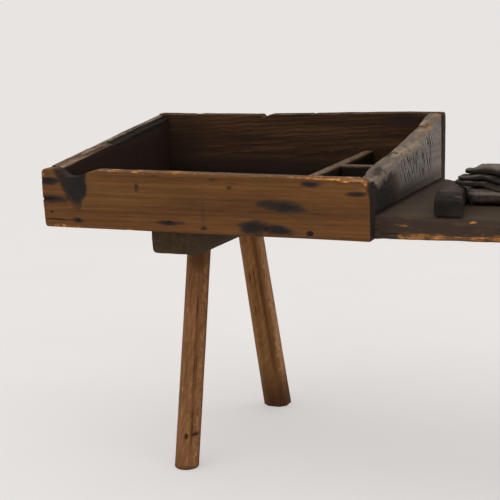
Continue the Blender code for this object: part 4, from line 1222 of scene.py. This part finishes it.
# The leather seat's rim: its course on the plank, its section and how finely both are drawn
RIM_LEFT = 81 * MM
RIM_RIGHT = 516.5 * MM
RIM_DRAW_IN = 38.5 * MM
RIM_BACK = 162.7 * MM
RIM_FRONT = -199.7 * MM
RIM_BEND = 62 * MM
RIM_HALF = 23 * MM
RIM_LOW = 453.8 * MM
RIM_TALL = 29 * MM
RIM_BACK_TALL = 11 * MM
RIM_HIGH_TO = -67.7 * MM
RIM_FALL_TO = -33.7 * MM
RIM_END_ROUND = 3.5 * MM
RIM_BOXINESS = 0.34
RIM_FRONT_FALL = 4 * MM
RIM_AROUND = 72
RIM_STEP = 2.4 * MM
RIM_END_STEPS = (0, 0.4, 1.0, 1.8, 2.7, 3.8, 5.0, 6.4)
RIM_STEPS_FROM = 8 * MM
RIM_BEND_STEPS = 36
RIM_CAP_SHARES = (0.2, 0.5, 0.8)
# The brown spot rubbed bare on the left arm's end, as a place on the plank
RIM_BARE = (133 * MM, -172 * MM)
RIM_BARE_REACH = 24 * MM


def rim_path():
    """Places along the rim's middle from the left arm's end to the right one's, and the way out at each."""
    straight = RIM_BACK - RIM_BEND - RIM_FRONT
    along = np.concatenate([np.array(RIM_END_STEPS) * MM, np.arange(RIM_STEPS_FROM, straight, RIM_STEP)])
    drawn = RIM_DRAW_IN * (1 - along / straight) ** 2
    right_arm = list(zip(RIM_RIGHT - drawn, RIM_FRONT + along))
    places = [(place, (-1, 0)) for place in zip(RIM_LEFT + drawn, RIM_FRONT + along)]

    def bend(middle_x, start):
        for step in range(RIM_BEND_STEPS + 1):
            angle = math.radians(start - 90 * step / RIM_BEND_STEPS)
            out = (math.cos(angle), math.sin(angle))
            centre = (middle_x + RIM_BEND * out[0], RIM_BACK - RIM_BEND + RIM_BEND * out[1])
            places.append((centre, out))

    bend(RIM_LEFT + RIM_BEND, 180)
    for x in np.arange(RIM_LEFT + RIM_BEND + RIM_STEP, RIM_RIGHT - RIM_BEND, RIM_STEP):
        places.append(((x, RIM_BACK), (0, 1)))
    bend(RIM_RIGHT - RIM_BEND, 90)
    places += [(place, (1, 0)) for place in right_arm[::-1]]
    return np.array([place for place, _ in places]), np.array([out for _, out in places])


def stuffed_rim(material):
    """The seat's stuffed leather roll: a boxy end, creases across it, and puckers where it turns."""
    middles, outs = rim_path()
    steps = np.concatenate([[0], np.cumsum(np.linalg.norm(np.diff(middles, axis=0), axis=1))])
    total = steps[-1]
    turn = np.linspace(0, math.tau, RIM_AROUND, endpoint=False)
    across = np.sign(np.cos(turn)) * np.abs(np.cos(turn)) ** RIM_BOXINESS
    up = np.sign(np.sin(turn)) * np.abs(np.sin(turn)) ** RIM_BOXINESS
    rows = []
    for step, middle, out in zip(steps, middles, outs):
        from_end = min(step, total - step)
        inset = corner_drop(np.array(from_end), RIM_END_ROUND)
        tall = RIM_TALL - (RIM_TALL - RIM_BACK_TALL) * smooth(RIM_HIGH_TO, RIM_FALL_TO, middle[1])
        half_tall = (tall - RIM_FRONT_FALL * (1 - smooth_mm(0, 24, from_end))) / 2
        wide = across * (RIM_HALF - inset)
        high = RIM_LOW + half_tall + up * np.maximum(half_tall - inset, 1 * MM)
        rows.append(np.column_stack([middle + out * wide[:, None], high]))
    points = np.concatenate(rows)
    flat_across = np.tile(across, len(steps))
    sideways = np.repeat(outs, RIM_AROUND, axis=0) * flat_across[:, None]
    out = np.column_stack([sideways, np.tile(up, len(steps))])
    out /= np.linalg.norm(out, axis=1)[:, None]
    flat_step = np.repeat(steps, RIM_AROUND)
    flat_turn = np.tile(turn, len(steps))
    own = np.column_stack([flat_step, np.cos(flat_turn) * RIM_HALF, np.sin(flat_turn) * RIM_TALL / 2])
    turned = np.unwrap(np.arctan2(outs[:, 1], outs[:, 0]))
    turning = np.repeat(np.abs(np.gradient(turned, steps)), RIM_AROUND) * RIM_BEND

    topness = facing(out, 2, 1)
    ends = smooth_mm(4, 30, np.minimum(flat_step, total - flat_step))
    creases = np.abs(rough_noise(own, (0.012, 0.06, 0.06), 101))
    puckers = np.abs(rough_noise(own, (0.014, 0.06, 0.06), 102)) * turning * np.clip(0.4 - flat_across, 0, 1)
    lumps = rough_noise(points, (0.06, 0.06, 0.04), 103)
    wrinkle = np.clip(1 - creases * 3, 0, 1) * (0.3 + 0.7 * topness) * (0.1 + 0.9 * ends)
    sunk = wrinkle * 1.3 * MM + puckers * 2 * MM + (lumps + 0.8) * 0.8 * MM * ends
    for nail in named("rim_nail", 4):
        x, y, _ = box_middle(nail)
        sunk *= smooth_mm(6, 14, np.hypot(points[:, 0] - x, points[:, 1] - y))
    points -= out * (sunk * (1 - facing(out, 2, -1)))[:, None]
    caps = []
    for first in (0, len(points) - RIM_AROUND):
        ring = points[first:first + RIM_AROUND]
        centre = ring.mean(axis=0)
        caps.append([ring + (centre - ring) * share for share in RIM_CAP_SHARES])
    whole = np.concatenate(caps[0][::-1] + [points] + caps[1])

    behind = smooth_mm(-150, -110, points[:, 1])
    worn = topness * (0.2 + 0.2 * lumps + 0.32 * behind)
    worn = worn + np.clip(creases * 1.6 - 0.4, 0, 0.3) * topness * behind
    # Painted light: the arms' inner sides, in shade between arm and pad, are lightened with the dust colour
    # through the worn mask
    inner = smooth(0.4, 0.9, -flat_across) * (1 - topness)
    bare = bump(np.hypot(points[:, 0] - RIM_BARE[0], points[:, 1] - RIM_BARE[1]), RIM_BARE_REACH) * topness
    masks = {
        "worn": np.maximum(worn * (0.3 + 0.7 * ends), 0.3 * inner),
        "stain": bare,
        # Painted shade in the wrinkles on top
        "cut": wrinkle * 0.5 * topness,
    }
    spare = np.zeros(len(RIM_CAP_SHARES) * RIM_AROUND)
    masks = {label: np.concatenate([spare, values, spare]) for label, values in masks.items()}
    faces = closed_rings(len(whole) // RIM_AROUND, RIM_AROUND)
    piece = mesh_piece("stuffed_seat_rim", whole, faces, material, masks)
    stand_for(piece, "seat_rim")


def fine_creases(x, y, seed):
    """A net of small creases, from 0 in a crease to 1 between them."""
    flat = np.column_stack([x, y, np.full(len(x), seed * 0.53)])
    first = np.abs(rough_noise(flat, (0.03, 0.012, 1), seed, 2))
    second = np.abs(rough_noise(flat, (0.012, 0.02, 1), seed + 5, 2))
    return smooth(0, 0.2, first) * smooth(0, 0.1, second)


def round_plan(slab, corner, draw_in, back_corner):
    """Rounds a slab's corners in plan and draws its sides in between them; sizes in mm."""
    along = slab.points[:, 0]
    across = slab.points[:, 2]
    share_x = np.clip(along / slab.size[0], 0, 1)
    share_y = np.clip(across / slab.size[2], 0, 1)
    drop = corner_drop(across, corner * MM) + corner_drop(slab.size[2] - across, back_corner * MM)
    slab.points[:, 0] = along + (drop + draw_in * MM * np.sin(math.pi * share_y)) * (1 - 2 * share_x)
    slab.points[:, 2] = across + draw_in * MM * np.sin(math.pi * share_x) * (1 - 2 * share_y)


def from_edge(slab):
    """How far each point's grid place is from the nearest side of the slab in plan."""
    sides = (slab.along, slab.size[0] - slab.along, slab.through, slab.size[2] - slab.through)
    return np.minimum.reduce(sides)


# The pad's rounding, and how high on its front the painted highlight along its ridge stands
PAD_ROUND = 11 * MM
PAD_CORNER = 8
PAD_HIGHLIGHT_LEVEL = 19 * MM
# How far the sides of pad and hides draw in, in mm
DRAW_IN = 2


def seat_pad(material):
    """The stuffed pad between the rim's arms, with pleats along its front edge."""
    slab = Slab("seat_pad", "xzy", (1.6, 1.2, 1.6), (3, 1.6, 3), (18, 8, 18))
    slab.round_off(PAD_ROUND + rough_noise(slab.grid, (0.04, 0.02, 0.02), 111) * 2 * MM)
    topness = slab.toward("up")
    front = 1 - smooth_mm(0, 40, slab.through)
    pleats = np.abs(rough_noise(slab.grid, (0.022, 0.012, 0.09), 112)) * front
    creases = fine_creases(slab.along, slab.through, 113)
    crown = 2 * MM * (1 - smooth_mm(0, 60, from_edge(slab))) * topness
    slab.sink(pleats * 3 * MM + (1 - creases) * 0.7 * MM + crown + 0.3 * MM)
    round_plan(slab, PAD_CORNER, DRAW_IN, PAD_CORNER)
    up = slab.points[:, 1]
    # Painted highlight along the ridge on the pad's front
    lit_ridge = bump(up - PAD_HIGHLIGHT_LEVEL, 5 * MM) * slab.toward("near")
    # The left end's dust is partly painted light, lightened where the hides shade it
    left = 1 - smooth_mm(24, 50, slab.along)
    upper = smooth(PAD_HIGHLIGHT_LEVEL, PAD_HIGHLIGHT_LEVEL + 4 * MM, up) * front
    slab.masks["worn"] = np.maximum.reduce([0.25 * topness, lit_ridge, 0.5 * upper, 0.4 * left])
    # Painted shade in the creases
    slab.masks["cut"] = (1 - creases) * 0.3
    piece = slab.piece("stuffed_seat_pad", material)
    stand_for(piece, "seat_pad")


# Each layer of hide: thickness and waver of its edge in mm, seed, rounding of its front corners in mm,
# where its left edge starts to slant to the right behind, how steeply, how much thinner it is on the left,
# and where along the bench its front starts to hang
Hide = namedtuple("Hide", "thick waver seed corner slant_from slant thinner hangs_from")
HIDES = {
    "lower_hide": Hide(8.5, 3.5, 121, 26, -30, 0.1, 0.0, 138),
    "middle_hide": Hide(8.5, 3.5, 131, 18, -50, 0.32, 0.4, 138),
    "upper_hide": Hide(9.0, 3.0, 141, 14, -46, 0.75, 0.2, 150),
}
HIDE_ROUND = 0.47
HIDE_BACK_CORNER = 24
SLANT_RUN = 150 * MM
# The ridge along the uppermost hide: where it stands, how wide and high, and how the hide thins behind it
RIDGE_PLACE = -43 * MM
RIDGE_REACH = 50 * MM
RIDGE_HEIGHT = 6.5 * MM
RIDGE_FROM = 121 * MM
RIDGE_FULL = 136 * MM
RIDGE_TOP = 515.5 * MM
THIN_SLOPE = 0.125
# The front edges hang down over the pad
DROOP_RUN = 36 * MM
DROOP_END = 470 * MM
DROOP_FADE = 50 * MM
DROOP_BACK = -28 * MM
DROOP_FRONT = -95 * MM
DROOP_DEEP = 12 * MM


def droop(x, y, start):
    """How far the hides hang down at each place along the seat's front."""
    run = smooth(start, start + DROOP_RUN, x) * (1 - smooth(DROOP_END - DROOP_FADE, DROOP_END, x))
    share = np.clip((DROOP_BACK - y) / (DROOP_BACK - DROOP_FRONT), 0, 1)
    return DROOP_DEEP * run * share**1.4


def folded_hide(node, material):
    """One layer of old hide: a fat knobby edge, a net of creases, and a front that hangs over the pad."""
    hide = HIDES[node]
    thick = hide.thick * MM
    slab = Slab(node, "xzy", (1.4, 1.0, 1.4), (2.6, 1.4, 2.2), (30, 8, 22), thick)
    slab.round_off(np.full(len(slab.points), thick * HIDE_ROUND))
    topness = slab.toward("up")
    round_plan(slab, hide.corner, DRAW_IN, HIDE_BACK_CORNER)
    x = slab.points[:, 0] + slab.origin.x
    y = slab.points[:, 2] + slab.origin.y
    near_left = 1 - np.clip(slab.along / SLANT_RUN, 0, 1)
    x = x + np.clip(y - hide.slant_from * MM, 0, None) * hide.slant * near_left
    left = 1 - smooth_mm(0, 34, slab.along)
    z = slab.points[:, 1] * (1 - hide.thinner * left) + slab.origin.z
    flat = np.column_stack([x, y, np.full(len(x), 0.2)])
    border = 1 - smooth_mm(0, 26, from_edge(slab))
    knobs = rough_noise(np.column_stack([x, y, z]), (0.009, 0.011, 0.008), hide.seed + 6, 2) * border
    creases = fine_creases(x, y, hide.seed + 9)
    rolls = np.abs(rough_noise(flat * (1, 1, 0), (0.12, 0.018, 1), hide.seed + 4, 2))
    waver_x = noise(flat, (0.045, 0.03, 1), hide.seed + 7) * hide.waver * MM * border
    waver_y = noise(flat, (0.05, 0.045, 1), hide.seed + 8) * hide.waver * MM * border
    x = x + waver_x + slab.out[:, 0] * knobs * 2.2 * MM
    y = y + waver_y + slab.out[:, 2] * knobs * 1.2 * MM
    z = z + slab.out[:, 1] * knobs * (0.6 + 1.5 * left) * MM
    z -= topness * ((1 - creases) * 0.8 + smooth(0.12, 0.0, rolls) * 1.2) * MM
    ridge = np.zeros(len(x))
    if node == "upper_hide":
        ridge = bump(y - RIDGE_PLACE, RIDGE_REACH) * smooth(RIDGE_FROM, RIDGE_FULL, x)
        z += topness * ridge * RIDGE_HEIGHT
        z = np.minimum(z, RIDGE_TOP - THIN_SLOPE * np.clip(y - RIDGE_PLACE, 0, None))
    hang = droop(x, y, hide.hangs_from * MM)
    z -= hang
    shaded = smooth_mm(0.5, 4, hang) * (0.9 if node == "lower_hide" else 0.3)
    dusty = topness * (0.32 + 0.62 * ridge + 0.25 * rolls) + 0.2 * border * creases * topness
    between_knobs = 0.7 * smooth(0.0, -0.5, knobs) * left
    # Painted shade in the creases, on the undersides and in the hollows between the knobs
    hollows = [(1 - creases) * 0.3 * topness, 0.8 * slab.toward("down"), between_knobs]
    masks = {"worn": dusty * (1 - shaded), "cut": np.maximum.reduce(hollows)}
    piece = mesh_piece("folded_" + node, np.column_stack([x, y, z]), slab.faces, material, masks)
    stand_for(piece, node)


def make_camera():
    lens = bpy.data.cameras.new("photo_camera")
    lens.lens = CAMERA_LENS
    lens.sensor_width = CAMERA_SENSOR
    camera = add_object("photo_camera", lens)
    turn = Matrix.Rotation(CAMERA_YAW, 4, "Z") @ Matrix.Rotation(math.pi / 2 - CAMERA_PITCH, 4, "X")
    camera.matrix_world = Matrix.Translation(CAMERA_PLACE) @ turn @ Matrix.Rotation(-CAMERA_ROLL, 4, "Z")
    bpy.context.scene.camera = camera


def soft_box(name, place, aim, width, power):
    lamp = bpy.data.lights.new(name, "AREA")
    lamp.shape = "RECTANGLE"
    lamp.size = width
    lamp.size_y = width
    lamp.energy = power
    holder = add_object(name, lamp)
    way = Vector(aim) - Vector(place)
    holder.location = place
    holder.rotation_euler = way.to_track_quat("-Z", "Y").to_euler()


def make_world():
    """An even light all round, and the paper's colour where the eye looks past the floor."""
    world = bpy.data.worlds.new("studio")
    shader = Shader(world)
    light = shader.node("Background", {"Color": (1, 1, 1, 1), "Strength": AMBIENT})
    paper = shader.node("Background", {"Color": srgb(*PAPER), "Strength": 1.0})
    shader.blend(shader.seen_directly(), light, paper, "OutputWorld")
    bpy.context.scene.world = world


def floor_paper():
    """Pale paper that takes the bench's shadow and fades into the backdrop further out."""
    shader = Shader(bpy.data.materials.new("floor_paper"))
    place = shader.place()
    far = shader.node("VectorMath", {0: place}, operation="LENGTH").outputs["Value"]
    mottle = shader.noise(place, 3.0, 4.0, 0.5)
    darker = srgb(*(value - FLOOR_MOTTLE for value in FLOOR_TONE))
    tone = shader.mix(shader.between(mottle, 0.3, 0.7), srgb(*FLOOR_TONE), darker)
    matt = shader.node("BsdfDiffuse", {"Color": tone})
    glow = shader.node("Emission", {"Color": srgb(*PAPER), "Strength": 1.0})
    fade = shader.between(far, FLOOR_FADE_START, FLOOR_FADE_END, FLOOR_GLOW, 1.0)
    share = shader.math("MULTIPLY", fade, shader.seen_directly())
    shader.blend(share, matt, glow, "OutputMaterial")
    return shader.owner


def make_floor():
    mesh = bpy.data.meshes.new("floor")
    turns = [step * math.tau / FLOOR_SIDES for step in range(FLOOR_SIDES)]
    rim = [(FLOOR_REACH * math.cos(turn), FLOOR_REACH * math.sin(turn), 0) for turn in turns]
    mesh.from_pydata(rim, [], [list(range(FLOOR_SIDES))])
    mesh.materials.append(floor_paper())
    floor = add_object("floor", mesh)


def paint(node, material):
    """A CAD node whose shape is right keeps it and takes a better material."""
    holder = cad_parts[node]
    for slot in holder.material_slots:
        slot.material = material
    if not holder.material_slots:
        holder.data.materials.append(material)


# Hue that drifts over a board, as shares of red, green and blue
REDDISH = (1.0, 0.93, 0.9, 1)
OLIVE = (0.97, 1.0, 0.98, 1)
EVEN = (1.0, 1.0, 1.0, 1)
# What several woods share: soot and painted shade, the wear of grey edges, and the looks of dividers and
# legs
SOOT_AND_SHADE = ((45, 32, 24), (29, 22, 18))
STREAKY = (0.25, 0.12, 0.63)
DIVIDER = dict(
    tones=((56, 42, 32), (78, 60, 46), (98, 78, 61)), hues=(REDDISH, EVEN),
    worn=((72, 56, 44), (98, 78, 61), (122, 99, 78)), stain=SOOT_AND_SHADE,
)
LEG = dict(
    along="z", stain=((72, 44, 26), (38, 26, 19)), pith=(0.4, 0.1, 0), tilt=(0.01, 0.02, 0), patch=0.18,
)
WOODS = dict(
    front_wood=dict(
        along="x", tones=((76, 48, 24), (95, 62, 33), (111, 75, 42)), hues=(REDDISH, OLIVE),
        worn=((94, 66, 42), (111, 82, 56), (136, 109, 82)), stain=((60, 43, 31), (34, 30, 29)),
        bare=((112, 70, 34), (156, 100, 50), (206, 146, 82)), pith=(0, 0.05, -0.62), tilt=(0, 0.02, 0.01),
        patch=0.2,
    ),
    tray_wood=dict(
        along="x", tones=((36, 24, 16), (58, 39, 25), (86, 58, 34)), hues=(REDDISH, EVEN),
        worn=((78, 62, 46), (104, 84, 62), (134, 106, 78)), stain=SOOT_AND_SHADE,
        pith=(0.1, -0.23, -0.49), tilt=(0, 0.05, 0.03), rings=0.7, ring_share=0.13, patch=0.5, swirl=4.0,
    ),
    left_end_wood=dict(
        along="y", tones=((36, 24, 16), (56, 38, 25), (76, 54, 35)), hues=(REDDISH, EVEN),
        worn=((96, 84, 70), (122, 108, 92), (146, 130, 112)), stain=SOOT_AND_SHADE,
        bare=((68, 51, 40), (106, 83, 65), (146, 119, 95)), pith=(0.5, 0, -0.3), tilt=(0.02, 0, 0.01),
        fray=STREAKY,
    ),
    end_wood=dict(
        along="y", tones=((95, 85, 79), (121, 110, 103), (145, 134, 126)), hues=(EVEN, EVEN),
        # Its stain colours also paint the shade inside the tray
        worn=((64, 54, 45), (102, 88, 73), (148, 130, 110)), stain=((64, 53, 44), (38, 31, 26)),
        bare=((84, 62, 42), (128, 92, 56), (170, 122, 72)), pith=(0.1, 0, -0.3), tilt=(0.02, 0, 0.02),
        ring_share=0.06, scored=(174, 165, 158), fray=STREAKY,
    ),
    divider_wood=dict(along="y", pith=(0.1, 0, -0.4), **DIVIDER),
    cross_divider_wood=dict(along="x", pith=(0, 0.1, -0.4), **DIVIDER),
    plank_wood=dict(
        along="x", tones=((50, 41, 31), (67, 56, 44), (84, 72, 56)), hues=(REDDISH, OLIVE),
        # Its stain colours also paint the shade on the tray's floor
        worn=((96, 64, 38), (152, 98, 48), (206, 138, 66)), stain=((58, 46, 39), (40, 32, 28)),
        pith=(0, 0.1, -0.3), tilt=(0, 0.01, 0.02), rings=0.8, ring_share=0.06, fray=(0.68, 0.32, 0),
    ),
    batten_wood=dict(
        along="y", tones=((50, 39, 26), (66, 51, 35), (82, 66, 46)), hues=(EVEN, OLIVE),
        worn=((78, 62, 44), (88, 71, 50), (100, 81, 59)), stain=((50, 39, 28), (36, 28, 20)),
        pith=(0.3, 0, -0.3), ring_share=0.04,
    ),
    # The legs' worn colours also paint their lit sides
    leg_wood=dict(
        tones=((94, 60, 34), (117, 78, 47), (138, 99, 65)), hues=(REDDISH, EVEN),
        worn=((116, 80, 49), (136, 96, 62), (154, 112, 74)), **LEG,
    ),
    olive_leg_wood=dict(
        tones=((106, 69, 36), (130, 88, 49), (152, 107, 66)), hues=(EVEN, OLIVE),
        worn=((136, 97, 63), (158, 115, 77), (178, 132, 91)), **LEG,
    ),
    wedge_wood=dict(along="z", tones=((58, 40, 26), (82, 60, 40), (106, 80, 56)), hues=(EVEN, OLIVE)),
)
# Each leather: its tones, its dust, and its colour where it is rubbed bare. The dust also paints light on
# the rim's inner sides and the pad's front ridge, and the pad's tones are partly its own colour, partly
# painted light under the hides
LEATHERS = dict(
    rim_leather=(((22, 18, 16), (32, 27, 24), (46, 38, 34)), (84, 73, 66), (98, 70, 46)),
    hide_leather=(((28, 23, 21), (45, 38, 34), (64, 55, 49)), (108, 98, 88), (96, 74, 54)),
    pad_leather=(((46, 36, 33), (58, 46, 42), (74, 61, 56)), (116, 104, 95), (96, 74, 54)),
)
NAIL_COUNTS = {"front_nail": 9, "back_nail": 9, "tray_batten_nail": 4, "seat_batten_nail": 4, "rim_nail": 4}


def make_boards(woods):
    front_board(woods["front_wood"])
    back_board(woods["tray_wood"])
    left_end_board(woods["left_end_wood"])
    right_end_board(woods["end_wood"])
    thin_board("long_divider", "yzx", woods["divider_wood"], 61, DIVIDER_SKEW)
    thin_board("cross_divider", "xzy", woods["cross_divider_wood"], 67)
    thin_board("front_strip", "xzy", woods["cross_divider_wood"], 73)
    bench_plank(woods["plank_wood"])
    cross_batten("tray", woods["batten_wood"], 81)
    cross_batten("seat", woods["batten_wood"], 87)


def make_legs(woods):
    for number, name in enumerate(LEGS):
        look = "olive_leg_wood" if name.endswith("back") else "leg_wood"
        hewn_leg(name, woods[look], 200 + 40 * number)
        paint(name + "_wedge", woods["wedge_wood"])


def make_seat():
    leathers = {name: old_leather(name, *look) for name, look in LEATHERS.items()}
    stuffed_rim(leathers["rim_leather"])
    seat_pad(leathers["pad_leather"])
    for node in HIDES:
        folded_hide(node, leathers["hide_leather"])


def make_nails():
    iron = rusted_iron()
    for prefix, count in NAIL_COUNTS.items():
        for node in named(prefix, count):
            paint(node, iron)


def main():
    bpy.context.scene.view_settings.view_transform = "Standard"
    make_camera()
    make_world()
    make_floor()
    for name, light in SOFT_BOXES.items():
        soft_box(name, *light)
    woods = {name: wood(name, **look) for name, look in WOODS.items()}
    make_boards(woods)
    make_legs(woods)
    make_seat()
    make_nails()


main()
